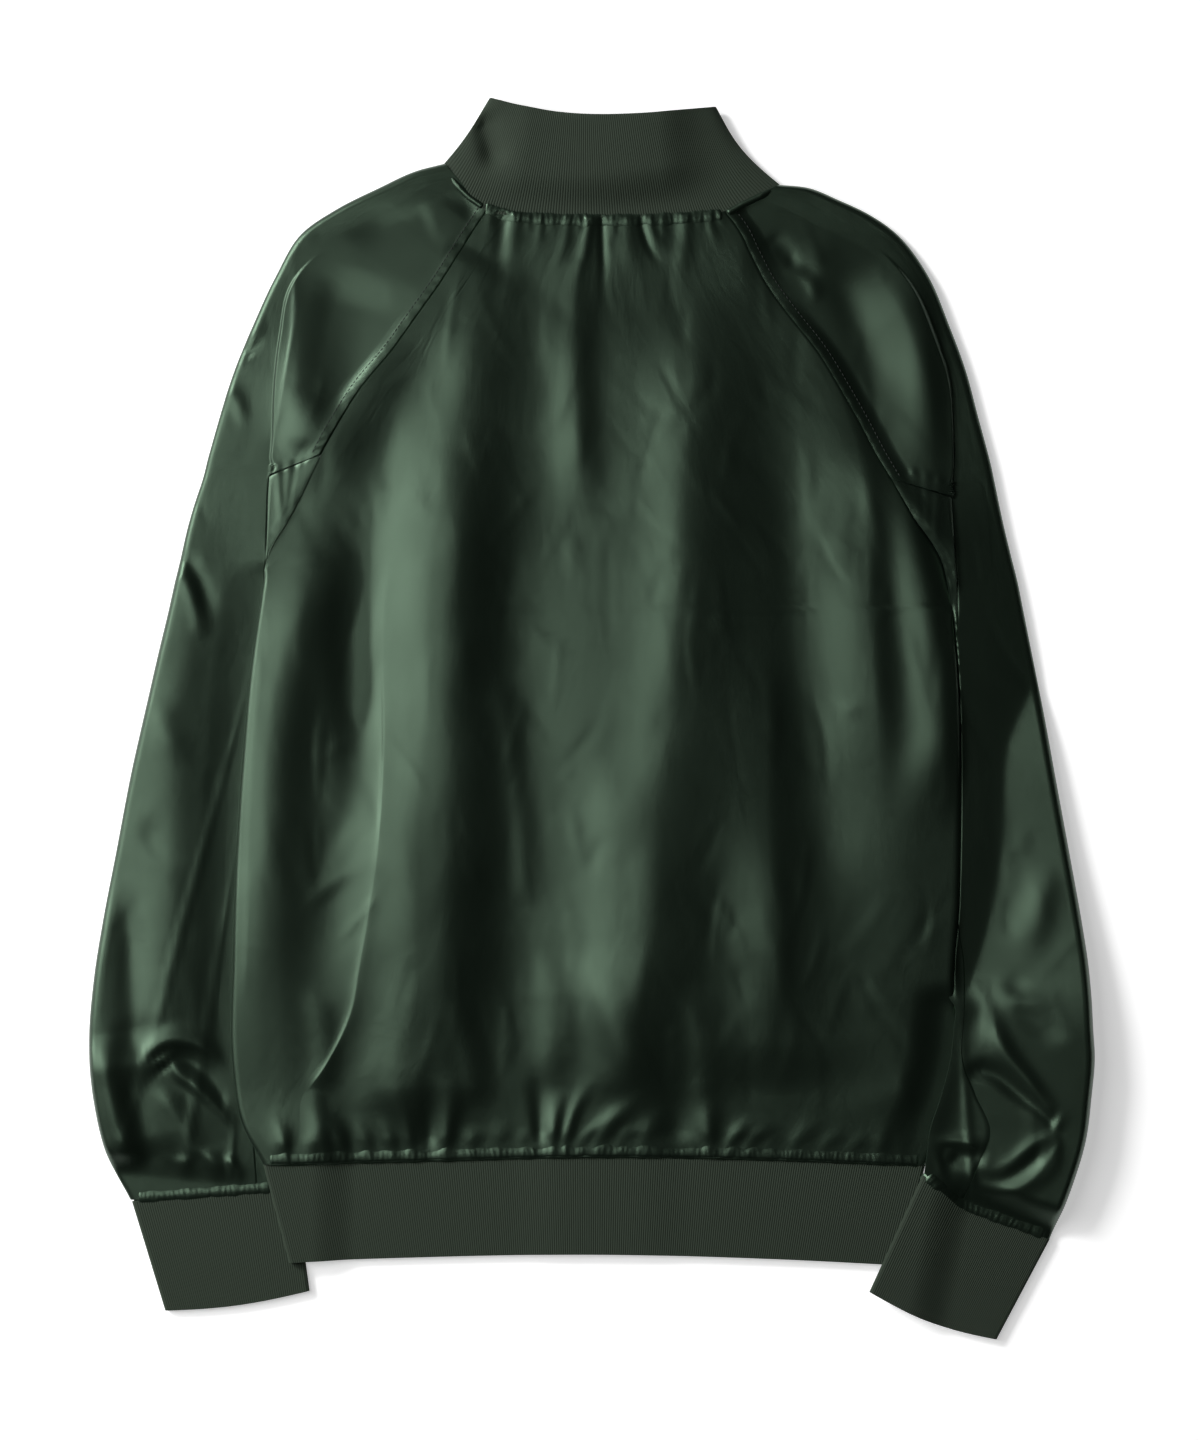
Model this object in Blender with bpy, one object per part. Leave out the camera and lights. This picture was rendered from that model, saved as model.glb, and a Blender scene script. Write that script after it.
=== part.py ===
"""A satin track jacket with raglan sleeves and knitted ribs, laid flat on its front.

The back faces up. +Y runs to the collar, +X to the wearer's right arm as it lies here,
and +Z up from the surface at Z = 0. Tables and functions hold millimetres; MM turns
them into metres when a mesh is made. Each piece of cloth is a closed wall around a
sheet of rows: a row crosses the garment, and the rows follow each other towards the hem.
"""
import bpy
from math import cos, exp, hypot, pi, radians, sin
from mathutils import Vector

MM = 0.001

SATIN = 1.5            # wall of the shell cloth
RIB = 2.2              # wall of the doubled knitted rib
SEAM = 0.4             # clear space between two pieces at a seam
HALF_SEAM = 0.2

PLATEAU = 6.6          # upper face of the back where it lies on the fronts
NECK_LEVEL = 10.6      # upper face along the neck seam, over the collar's front
RIB_STACK = 4.8        # two layers of rib lying on each other
PRESSED = 5.8          # upper face of the body where a sleeve lies over it
TUCKED = 4.8           # upper face of a sleeve pressed under the body
LIFT = 5.2             # lower face of the body where it lies over a sleeve
OVER = 7.2             # lower face of the right sleeve where it lies over the body
EDGE_LEVEL = 12.0      # upper face of the body along its free edges
SLEEVE_LEVEL = 6.8     # upper face along the middle of a sleeve
EDGE_RADIUS = 3.4      # half-width of the turned edge of the body
SLEEVE_RADIUS = 5.0    # half-width of the turned edge of a sleeve
SIDE_TURN = 9.0        # how far the back reaches under the body's edge
ZIP_X = 6.0            # centre front
ZIP_HALF = 3.2         # from the centre front to a front's edge
ZIP_TOP = 338.0        # y of the chain's upper end
TAPE = 0.8             # zip tape's thickness
TAPE_WIDTH = 15.0      # from the centre front to a tape's far edge
CHAIN_GAP = 0.2        # from the centre front to each half of the chain
CHAIN_HALF = 2.8       # and to that half's far side
SLIDER_TOP = 342.6     # y of the slider's upper end
SLIDER_LENGTH = 13.0
SLIDER_HALF = 3.3      # half its width
PULL_AXIS_Y = 333.4    # the line that the pull tab turns on
PULL_AXIS_Z = 1.3
PULL_LENGTH = 28.0
PULL_HALF = 3.4        # half its width
PULL_WALL = 0.8

# Where one level of the cloth eases into the next: from, to.
LEFT_CLIMB_X = (-156, -184)     # the body rises over the tucked left sleeve
LEFT_CLIMB_Y = (102, 80)
RIGHT_CLIMB_X = (205, 227)      # and over the right one
RIGHT_CLIMB_Y = (69, 50)
RIGHT_DROP_Y = (-182, -158)     # until that sleeve comes out on top
SLEEVE_OUT_Y = (-186, -206)     # the right sleeve presses on the body below this
SLEEVE_PRESS = (30, 6)          # distances inside the right sleeve's inner edge
SLEEVE_CLIMB_Y = (-184, -212)   # and there it rises over the body
SLEEVE_CLIMB = (38, 8)          # distances outside the body's edge
NECK_RISE_Y = (262, 316)        # the back rises to the neck seam
NECK_RISE_X = (118, 88)         # distances from the collar's middle
NECK_MIDDLE = 10
LEFT_EDGE_X = (-188, -222)      # the back rises to its free edges
LEFT_EDGE_Y = (128, 76)
RIGHT_EDGE_X = (214, 236)
RIGHT_EDGE_Y = (98, 46)
SHOULDER_RISE_Y = (318, 350)    # a sleeve rises to the neck seam
RAGLAN_EASE = 26                # a sleeve's top meets the body's within this distance
TUCK_EASE = (20, 4)             # a tucked sleeve flattens at these distances from the body
GATHER = 20                     # cloth comes down to a rib within this distance of its seam
INSIDE_ROOM = 1.8               # clear space inside the body at its edges
ZIP_STACK = 1.3                 # added to the hem's two layers by the tapes
ZIP_SPREAD = (60, 26)           # distances from the centre front

# Raglan seams: from the neck seam to the underarm, where the body's turned edge starts.
LEFT_RAGLAN = (  # y, x
    (334, -69), (322, -77), (306, -87), (287, -99), (266, -114), (243, -130.5),
    (217, -152), (194, -166.5), (174, -178), (147, -191), (132, -199), (107, -213))
RIGHT_RAGLAN = (  # y, x
    (334, 88), (322, 97), (306, 105), (287, 115), (266, 130), (243, 148), (217, 164),
    (194, 177), (174, 187.5), (158, 197), (132, 212), (107, 229), (92, 233.5), (77, 237))
LEFT_EDGE = (  # y, x
    (79, -217.5), (26, -225), (-19, -229), (-75, -233), (-158, -236), (-230, -236),
    (-270, -229), (-295, -216))
RIGHT_EDGE = (  # y, x
    (46, 240), (-53, 243), (-119, 242), (-185, 240), (-225, 239), (-265, 233), (-295, 220))
NECK_SEAM = ((-69, 334), (-31, 331), (11, 330), (52, 331), (88, 334))             # x, y
FRONT_NECK = ((-69, 334), (-50, 303), (-28, 284), (2.8, 277), (9.2, 277), (36, 283), (62, 296),
              (88, 334))                                                          # x, y
HEM_SEAM = ((-216, -293), (-120, -291), (6, -288), (120, -290), (220, -294))
HEM_END = ((-216, -359), (-199, -358), (-120, -355), (6, -353), (120, -356), (220, -361))
BODY_ROWS = (322, 306, 287, 266, 243, 217, 194, 174, 147, 132, 107, 99, 92, 84, 77, 69, 62,
             45, 8, -40, -90, -140, -172, -205, -232, -255, -272, -284)       # y

FOLD_OUT = 0.12        # a fold fades from this share of its length beyond its ends
FOLD_IN = 0.2          # to this share within them
# Long folds of the back: a crest from its upper end to its lower end.
BACK_FOLDS = (  # x, y, x, y, half-width, height
    (-132, 130, -150, -215, 13, 4.6),
    (-105, 190, -118, -60, 16, 1.8),
    (30, 250, -5, -130, 26, 4.0),
    (-5, -100, -52, -270, 20, 3.0),
    (95, 60, 118, -250, 17, 2.2),
    (178, 165, 196, -150, 15, 3.6),
    (212, 100, 216, -190, 10, 2.2),
    (-212, 60, -214, -240, 10, 2.0),
    (-180, -200, -196, -262, 10, 3.2),
    (-120, -215, -128, -268, 12, 3.4),
    (-62, -190, -70, -266, 11, 2.6),
    (22, -180, 30, -266, 14, 3.4),
    (82, -200, 92, -264, 12, 2.6),
    (150, -190, 160, -264, 14, 3.0),
    (10, 322, 14, 268, 9, 2.4),
    (44, 322, 56, 262, 8, 1.8))
SLEEVE_FOLDS = (  # x, y, x, y, half-width, height
    (-150, 330, -200, 250, 22, 3.0),
    (178, 318, 222, 215, 18, 3.4),
    (-262, 80, -290, -120, 12, 2.6),
    (-306, -90, -300, -220, 10, 3.0),
    (-292, -190, -256, -296, 11, 4.2),
    (272, 60, 300, -120, 13, 2.4),
    (262, -198, 306, -272, 9, 5.0),
    (306, -272, 254, -300, 9, 3.4),
    (300, -60, 318, -230, 10, 2.4))

# Shoulders: the outer edge across from each raglan point, and the fold's distance from it.
LEFT_SHOULDER = (  # outer x, outer y, fold
    (-97, 366, 18), (-116, 361, 18), (-140, 350, 20), (-168, 336, 22), (-192, 319, 18),
    (-208, 292, 12), (-222, 262, 20), (-236, 228, 30), (-252, 175, 41))
RIGHT_SHOULDER = (  # outer x, outer y, fold
    (124, 352, 14), (143, 350, 18), (163, 342, 20), (184, 332, 20), (203, 318, 16),
    (222, 292, 13), (236, 259, 12), (247, 229, 13), (255, 199, 18), (262, 173, 24))
# Arms: the outer edge, the seam between the two pieces of the sleeve, the under-sleeve's
# inner edge (on the raglan seam down to the underarm), and the fold as above.
LEFT_ARM = (  # outer x, outer y, seam x, seam y, inner x, inner y, fold
    (-257, 156, -212, 161, -184.5, 160.5, 38), (-262, 141, -213, 147, -191, 147, 40),
    (-266, 127, -214.5, 131, -199, 132, 42), (-271, 105, -217.5, 107, -213, 107, 44),
    (-275, 88, -222, 88, -218, 88, 42), (-279, 70, -223, 72, -219.5, 72, 42),
    (-285, 45, -221, 48, -203, 47, 46), (-293, 10, -217, 15, -184, 17, 50),
    (-303, -34, -217, -30, -184, -28, 54), (-313, -86, -219, -84, -188, -83, 58),
    (-322, -133, -221, -132, -192, -132, 60), (-328, -172, -223, -172, -194, -172, 62),
    (-331, -212, -225, -212, -196, -212, 62), (-328, -251, -225, -250, -198, -250, 60),
    (-319, -288, -222, -283, -196, -282, 56), (-304, -317, -220, -311, -196, -309, 50))
RIGHT_ARM = (  # outer x, outer y, seam x, seam y, inner x, inner y, fold
    (266, 155, 237, 147, 204.5, 145, 24), (271, 131, 238, 128, 212, 132, 26),
    (277, 106, 239.5, 105, 229, 107, 30), (281, 90, 240.5, 90, 233.5, 92, 32),
    (284, 75, 242, 76, 237, 77, 34), (287, 60, 246, 60, 241, 60, 34),
    (290, 45, 246.5, 46, 242.3, 46, 36), (297, 10, 245, 12, 234, 12, 42),
    (306, -40, 245, -38, 232, -38, 48), (316, -95, 246, -94, 233, -94, 56),
    (323, -135, 247, -134, 236, -134, 62), (327, -162, 248, -160, 241.4, -160, 66),
    (329, -185, 249, -182, 241.4, -182, 66), (330, -205, 249, -202, 240.8, -202, 66),
    (331, -222, 247, -221, 239.6, -221, 68), (329, -247, 249, -246, 231, -246, 66),
    (325, -278, 260, -271, 223, -269, 52), (316, -308, 252, -294, 221, -284, 46),
    (302, -343, 243, -322, 219, -300, 42))
# The right sleeve's and cuff's inner edge, and the body's and hem's right edge: y, x.
RIGHT_INNER = tuple((row[5], row[4]) for row in RIGHT_ARM) + ((-377, 183),)
RIGHT_BODY_END = RIGHT_EDGE[-4:] + ((-360, 204), (-410, 196))

# Collar: stations round the neck from the centre front, under and over, back to the front.
COLLAR = (  # neck x, neck y, top x, top y, level of the outer face
    (ZIP_X - ZIP_HALF, 277, ZIP_X - ZIP_HALF, 343, 0), (-28, 284, -22, 350, 0),
    (-50, 303, -42, 366, 0), (-69, 334, -58, 388, 0.2), (-87, 354.6, -65.5, 404, 1.2),
    (-97, 366, -67, 409, 5.3), (-87, 354.6, -61, 407.5, 9.6), (-69, 334, -46, 403.5, 10.6),
    (-31, 331, -22, 399, 10.6), (11, 330, 6, 397, 10.6), (52, 331, 38, 398, 10.6),
    (88, 334, 64, 401, 10.6), (112, 346, 77, 402.5, 9.6), (124, 352, 82, 403, 5.3),
    (112, 346, 80.5, 399, 1.2), (88, 334, 71, 383, 0.2), (62, 296, 53, 362, 0),
    (36, 283, 34, 350, 0), (ZIP_X + ZIP_HALF, 277, ZIP_X + ZIP_HALF, 343, 0))
# Cuffs: inner and outer corner at the seam, then at the open end; how far the open end
# bows; and where along the seam, and how far, the sleeve's blouse pushes it down.
LEFT_CUFF = (((-195, -310), (-303, -318), (-186, -377), (-281, -390)), 3, 0.25, 0)
RIGHT_CUFF = (((218, -300), (302, -343), (183, -377), (267, -409)), 5, 0.29, 9.4)
CUFF_LINE = {"left": (-220, -311, -0.1), "right": (244, -320, -0.36)}   # x, y, slope


def ease(value, start, end):
    """0 at start and 1 at end, soft at both."""
    part = min(max((value - start) / (end - start), 0.0), 1.0)
    return part * part * (3 - 2 * part)


def mix(first, second, part):
    return first + (second - first) * part


def read(rows, at, column=1):
    """A column's value where the first column is `at`, on a smooth line through the rows."""
    places = [row[0] for row in rows]
    falling = places[0] > places[-1]
    last = len(rows) - 2
    spot = 0
    while spot < last and ((at < places[spot + 1]) if falling else (at > places[spot + 1])):
        spot += 1
    return bend(rows, spot, (at - places[spot]) / (places[spot + 1] - places[spot]), column)


def bend(rows, spot, part, column):
    """A column's value part of the way from one row to the next, smooth at the rows."""
    part = min(max(part, 0.0), 1.0)
    before = rows[max(spot - 1, 0)][column]
    start = rows[spot][column]
    end = rows[spot + 1][column]
    after = rows[min(spot + 2, len(rows) - 1)][column]
    limit = 1.5 * abs(end - start)
    slope_start = min(max((end - before) / 2, -limit), limit)
    slope_end = min(max((after - start) / 2, -limit), limit)
    square = part * part
    cube = square * part
    return (start * (2 * cube - 3 * square + 1) + slope_start * (cube - 2 * square + part)
            + end * (3 * square - 2 * cube) + slope_end * (cube - square))


def crests(x, y, folds):
    """Height that long folds add: round across, and fading round both ends."""
    total = 0.0
    for x1, y1, x2, y2, half_width, height in folds:
        length = hypot(x2 - x1, y2 - y1)
        along = ((x - x1) * (x2 - x1) + (y - y1) * (y2 - y1)) / length
        across = ((x - x1) * (y2 - y1) - (y - y1) * (x2 - x1)) / length
        fade = ease(along, -FOLD_OUT * length, FOLD_IN * length)
        fade *= ease(length - along, -FOLD_OUT * length, FOLD_IN * length)
        total += height * fade * exp(-(across / half_width) ** 2)
    return total


def side_x(side, y):
    """x of the body's outline: the raglan seam, then the turned edge."""
    raglan, edge = (LEFT_RAGLAN, LEFT_EDGE) if side == "left" else (RIGHT_RAGLAN, RIGHT_EDGE)
    if y < raglan[-1][0]:
        return read(raglan[-2:] + edge, y)
    for (y1, x1), (y2, x2) in zip(raglan, raglan[1:]):
        if y >= y2:
            return mix(x1, x2, min(max((y - y1) / (y2 - y1), 0), 1))
    return raglan[-1][1]


def body_floor(x, y):
    """Lower face of the fronts and of the hem: raised where a sleeve is tucked under."""
    left = ease(x, *LEFT_CLIMB_X) * ease(y, *LEFT_CLIMB_Y)
    right = ease(x, *RIGHT_CLIMB_X) * ease(y, *RIGHT_CLIMB_Y) * ease(y, *RIGHT_DROP_Y)
    return LIFT * max(left, right)


def hem_stack(x):
    """Thickness of the two layers of hem rib, with the zip's tapes between them."""
    return RIB_STACK + ZIP_STACK * ease(abs(x - ZIP_X), *ZIP_SPREAD)


def under_right_sleeve(x, y):
    """1 where the right sleeve lies on the body, 0 away from it."""
    inner = read(RIGHT_INNER, y)
    return ease(inner - x, *SLEEVE_PRESS) * ease(y, *SLEEVE_OUT_Y)


def body_top(x, y):
    """Upper face of the back, and of the shoulders next to the raglan seams."""
    height = PLATEAU + crests(x, y, BACK_FOLDS)
    neck = ease(y, *NECK_RISE_Y) * ease(abs(x - NECK_MIDDLE), *NECK_RISE_X)
    height = mix(height, NECK_LEVEL, neck)
    left = ease(x, *LEFT_EDGE_X) * ease(y, *LEFT_EDGE_Y)
    right = ease(x, *RIGHT_EDGE_X) * ease(y, *RIGHT_EDGE_Y)
    height = mix(height, EDGE_LEVEL, max(left, right))
    height = max(height, body_floor(x, y) + 2 * SATIN + INSIDE_ROOM)
    height = mix(height, PRESSED, under_right_sleeve(x, y))
    seam = read(HEM_SEAM, x)
    return mix(height, body_floor(x, y) + hem_stack(x), ease(y - seam, GATHER, 1))


def shoulder_fold(distance, strength):
    """The step where a shoulder's cloth folds over the sleeve, by the distance past it."""
    return strength * ease(distance, -2, 4) * ease(distance, 62, 6)


def sleeve_floor(side, x, y):
    """Lower face of a sleeve or cuff: the right one climbs over the body and the hem."""
    if side == "left":
        return 0.0
    edge = read(RIGHT_BODY_END, y)
    return OVER * ease(y, *SLEEVE_CLIMB_Y) * ease(x - edge, *SLEEVE_CLIMB)


def sleeve_top(side, x, y):
    """Upper face of a sleeve, away from its turned outer edge."""
    left = side == "left"
    underarm = (LEFT_RAGLAN if left else RIGHT_RAGLAN)[-1][0]
    outside = abs(x) - abs(side_x(side, y))
    body = body_top(side_x(side, y), max(y, underarm))
    height = SLEEVE_LEVEL + crests(x, y, SLEEVE_FOLDS)
    height = mix(height, NECK_LEVEL - SATIN, ease(y, *SHOULDER_RISE_Y))
    joined = ease(outside, RAGLAN_EASE, 0) * ease(y, underarm - RAGLAN_EASE, underarm)
    height = mix(height, body, joined)
    floor = sleeve_floor(side, x, y)
    tucked = ease(outside, *TUCK_EASE) * ease(y, underarm, underarm - RAGLAN_EASE)
    if not left:
        tucked *= ease(y, SLEEVE_OUT_Y[1], SLEEVE_OUT_Y[0] + 16)
    height = floor + mix(height, TUCKED, tucked)
    if not left:
        inner = read(RIGHT_INNER, y)
        height = mix(height, floor + TUCKED, ease(x - inner, 14, 0) * ease(y, *SLEEVE_OUT_Y))
    seam_x, seam_y, slope = CUFF_LINE[side]
    seam = seam_y + slope * (x - seam_x)
    return mix(height, floor + RIB_STACK, ease(y - seam, GATHER, 2))


def turn(half_width, low, high, steps=4):
    """Points round a turned edge, from its lower face to its upper one: (outwards, up)."""
    middle = (low + high) / 2
    half_height = (high - low) / 2
    angles = [radians(-90 + 180 * step / steps) for step in range(steps + 1)]
    return [(half_width * cos(a), middle + half_height * sin(a)) for a in angles]


def turned_edge(closed, low, high):
    """The body's edge strip as it turns under, from its end to the top: (inwards, up)."""
    angle = closed * pi
    bent = closed * pi * EDGE_RADIUS
    straight = mix(12.0, SIDE_TURN - EDGE_RADIUS, closed)
    if sin(angle) > 0.05:
        room = EDGE_RADIUS * (1 + cos(angle)) - SATIN * max(cos(angle), 0)
        straight = min(straight, room / sin(angle))
    points = []
    for step in range(5, -1, -1):
        run = (bent + straight) * step / 5
        turned = min(run, bent) / EDGE_RADIUS
        past = max(run - bent, 0)
        aside = EDGE_RADIUS * sin(turned) + past * cos(turned)
        down = EDGE_RADIUS * (1 - cos(turned)) + past * sin(turned)
        start = EDGE_RADIUS if closed > 0.5 else EDGE_RADIUS * sin(angle) + straight * cos(angle)
        points.append((max(start, EDGE_RADIUS * sin(min(angle, pi / 2))) - aside,
                       high - down * (high - low) / (2 * EDGE_RADIUS)))
    return points


def spread(start, end, count):
    """Evenly spaced values from start to end, both included."""
    return [mix(start, end, step / (count - 1)) for step in range(count)]


def material(name, colour, roughness, metallic=0.0):
    made = bpy.data.materials.new(name)
    made.use_nodes = True
    shader = made.node_tree.nodes["Principled BSDF"]
    shader.inputs["Base Color"].default_value = (*colour, 1)
    shader.inputs["Roughness"].default_value = roughness
    shader.inputs["Metallic"].default_value = metallic
    return made


def add_object(name, points, faces, look, origin=(0, 0, 0)):
    """An object from points in millimetres, counted from its origin."""
    mesh = bpy.data.meshes.new(name)
    mesh.from_pydata([tuple(c * MM for c in point) for point in points], [], faces)
    mesh.materials.append(look)
    thing = bpy.data.objects.new(name, mesh)
    thing.location = Vector(origin) * MM
    bpy.context.scene.collection.objects.link(thing)
    return thing


def inward(rows, i, j):
    """Direction from a sheet's outer face into its wall, level across the seams at its ends."""
    lengthwise = rows[min(i + 1, len(rows) - 1)][j] - rows[max(i - 1, 0)][j]
    lengthwise.z = 0
    crosswise = rows[i][min(j + 1, len(rows[i]) - 1)] - rows[i][max(j - 1, 0)]
    direction = crosswise.cross(lengthwise).normalized()
    if j in (0, len(rows[i]) - 1) and abs(direction.z) > 0.7:
        return Vector((0, 0, 1 if direction.z > 0 else -1))
    return direction


def cloth(name, rows, wall, look):
    """A closed wall on a sheet of rows, whose points lie on the wall's outer face."""
    rows = [[Vector(point) for point in row] for row in rows]
    across = len(rows[0])
    outer = [point for row in rows for point in row]
    inner = [rows[i][j] + wall * inward(rows, i, j) for i in range(len(rows)) for j in range(across)]
    skin = len(outer)
    faces = []
    for i in range(len(rows) - 1):
        for j in range(across - 1):
            a = i * across + j
            faces.append((a, a + across, a + across + 1, a + 1))
            faces.append((skin + a, skin + a + 1, skin + a + across + 1, skin + a + across))
    rim = [j for j in range(across)]
    rim += [(i + 1) * across + across - 1 for i in range(len(rows) - 1)]
    rim += [(len(rows) - 1) * across + j for j in range(across - 2, -1, -1)]
    rim += [i * across for i in range(len(rows) - 2, 0, -1)]
    for a, b in zip(rim, rim[1:] + rim[:1]):
        faces.append((a, b, skin + b, skin + a))
    return add_object(name, outer + inner, faces, look)


def tube(name, rows, wall, look):
    """A closed wall on a sheet whose rows run all round, open at both ends."""
    rows = [[Vector(point) for point in row] for row in rows]
    around = len(rows[0])
    points = []
    for row_number, row in enumerate(rows):
        for j in range(around):
            crosswise = row[(j + 1) % around] - row[j - 1]
            lengthwise = (rows[min(row_number + 1, len(rows) - 1)][j]
                          - rows[max(row_number - 1, 0)][j])
            lengthwise.z = 0
            points.append(row[j] + wall * crosswise.cross(lengthwise).normalized())
    skin = len(points)
    points = [point for row in rows for point in row] + points
    faces = []
    for j in range(around):
        k = (j + 1) % around
        for i in range(len(rows) - 1):
            a, b = i * around + j, i * around + k
            faces.append((a, a + around, b + around, b))
            faces.append((skin + a, skin + b, skin + b + around, skin + a + around))
        end = (len(rows) - 1) * around
        faces.append((j, k, skin + k, skin + j))
        faces.append((end + k, end + j, skin + end + j, skin + end + k))
    return add_object(name, points, faces, look)


def back_row(y_at, y_side, inside):
    """One row of the back: its edge strips, turned under below the underarms, and between."""
    strips = []
    for side, way in (("left", 1), ("right", -1)):
        underarm = (LEFT_RAGLAN if side == "left" else RIGHT_RAGLAN)[-1][0]
        closed = ease(y_side, underarm, underarm - 23)
        edge = side_x(side, y_side) + way * HALF_SEAM
        strip = [(edge + way * aside, up) for aside, up in
                 turned_edge(closed, body_floor(edge, y_side), body_top(edge + 4 * way, y_side))]
        if closed == 0:
            strip = [(x, body_top(x, y_side)) for x, up in strip]
        points = [(x, y_at(x), up) for x, up in strip]
        strips.append(points if way > 0 else points[::-1])
    xs = spread(strips[0][-1][0], strips[1][0][0], inside)[1:-1]
    middle = [(x, y_at(x), body_top(x, y_side)) for x in xs]
    return strips[0] + middle + strips[1]


def build_back(look):
    inside = 14
    rows = [back_row(lambda x: read(NECK_SEAM, x) - HALF_SEAM, 334, inside)]
    rows += [back_row(lambda x, y=y: y, y, inside) for y in BODY_ROWS]
    rows.append(back_row(lambda x: read(HEM_SEAM, x) + HALF_SEAM, -294.5, inside))
    return cloth("back", rows, SATIN, look)


def neck_line(x):
    """y of the front's neck seam."""
    for (x1, y1), (x2, y2) in zip(FRONT_NECK, FRONT_NECK[1:]):
        if x <= x2:
            return mix(y1, y2, max((x - x1) / (x2 - x1), 0))
    return FRONT_NECK[-1][1]


def front_places(side, edge, centre, y):
    """x of a front's points, with some where it climbs over a sleeve."""
    if y > 333:
        return [edge, *(mix(-69, -50, 0.5), -50, -28, -12), centre] if side == "left" else [
            edge, 75, 62, 36, 21, centre]
    if y > 100 or (side == "right" and y < -178):
        return spread(edge, centre, 6)
    climb = (*LEFT_CLIMB_X[::-1], -78) if side == "left" else (*RIGHT_CLIMB_X[::-1], 90)
    return [edge, mix(edge, climb[0], 0.5), *climb, centre]


def build_front(side, look):
    """Half of the front, lying on the surface under the back."""
    left = side == "left"
    underarm = (LEFT_RAGLAN if left else RIGHT_RAGLAN)[-1][0]
    way = 1 if left else -1
    centre = ZIP_X - way * ZIP_HALF
    rows = []
    for y in (334,) + BODY_ROWS + (-294.5,):
        turned = (SIDE_TURN + SEAM) * ease(y, underarm + 1, underarm - 20)
        edge = side_x(side, y) + way * (HALF_SEAM + turned)
        row = []
        for x in front_places(side, edge, centre, y):
            top = neck_line(x) - HALF_SEAM
            level = y
            if y > 266:
                level = mix(top, 266, (334 - y) / (334 - 266))
            if y < -290:
                level = read(HEM_SEAM, x) + HALF_SEAM
            row.append((x, level, body_floor(x, y)))
        rows.append(row[::-1] if left else row)
    return cloth("front_" + side, rows, SATIN, look)


def row_points(start, end, outs):
    """Points on a level line, each at its distance from the start, and its height."""
    way = (end - start).normalized()
    return [(start.x + out * way.x, start.y + out * way.y, up) for out, up in outs]


def build_sleeve_top(side, look):
    """The sleeve's main piece: over the arm, round its outer edge and back underneath."""
    left = side == "left"
    raglan = LEFT_RAGLAN if left else RIGHT_RAGLAN
    shoulder = LEFT_SHOULDER if left else RIGHT_SHOULDER
    table = [(x, y, seam[1], seam[0], seam[1], seam[0], fold)
             for (x, y, fold), seam in zip(shoulder, raglan)]
    table += LEFT_ARM if left else RIGHT_ARM
    rows = []
    for outer_x, outer_y, seam_x, seam_y, inner_x, inner_y, fold in table:
        outer = Vector((outer_x, outer_y, 0))
        seam = Vector((seam_x, seam_y, 0))
        inner = Vector((inner_x, inner_y, 0))
        width = (outer - seam).length
        strength = 5.0 * ease(outer_y, 320, 280) * ease(outer_y, 78, 110)
        outs = spread(HALF_SEAM, width - fold - 3, 5)
        outs += spread(width - fold + 3, width - SLEEVE_RADIUS, 4)
        top = []
        for out in outs:
            spot = seam.lerp(outer, out / width)
            rise = shoulder_fold(width - fold - out, strength)
            top.append((out, sleeve_top(side, spot.x, spot.y) + rise))
        low = sleeve_floor(side, outer_x, outer_y)
        round_edge = turn(SLEEVE_RADIUS, low, top[-1][1], 3)
        top = top[:-1] + [(width - SLEEVE_RADIUS + out, up) for out, up in round_edge[::-1]]
        points = row_points(seam, outer, top)
        for out in spread(width - SLEEVE_RADIUS, 0, 4)[1:]:
            spot = seam.lerp(outer, out / width)
            points.append((spot.x, spot.y, sleeve_floor(side, spot.x, spot.y)))
        tail = (inner - seam).length
        if tail > 1:
            spot = seam.lerp(inner, 1 - HALF_SEAM / tail)
            points.append((spot.x, spot.y, sleeve_floor(side, spot.x, spot.y)))
        else:
            points[-1] = (points[-1][0] + HALF_SEAM * (outer.x - seam.x) / width,
                          points[-1][1] + HALF_SEAM * (outer.y - seam.y) / width, points[-1][2])
            points.insert(-1, tuple(Vector(points[-2]).lerp(Vector(points[-1]), 0.5)))
        rows.append(points[::-1] if left else points)
    return cloth("sleeve_%s_top" % side, rows, SATIN, look)


def build_sleeve_under(side, look):
    """The narrow under-sleeve: from the raglan seam at the underarm to the cuff."""
    left = side == "left"
    way = 1 if left else -1
    table = [row[2:6] for row in (LEFT_ARM if left else RIGHT_ARM)]
    cross = (LEFT_RAGLAN[8] if left else RIGHT_RAGLAN[9])
    table[0] = (table[0][0], table[0][1] - SEAM, cross[1] - way * 0.2, cross[0] - SEAM)
    rows = []
    for seam_x, seam_y, inner_x, inner_y in table:
        seam = Vector((seam_x, seam_y, 0))
        inner = Vector((inner_x, inner_y, 0))
        width = (inner - seam).length
        row = []
        for out in spread(HALF_SEAM, width - HALF_SEAM, 5):
            spot = seam.lerp(inner, out / width)
            row.append((spot.x, spot.y, sleeve_top(side, spot.x, spot.y)))
        rows.append(row if left else row[::-1])
    return cloth("sleeve_%s_under" % side, rows, SATIN, look)


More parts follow.
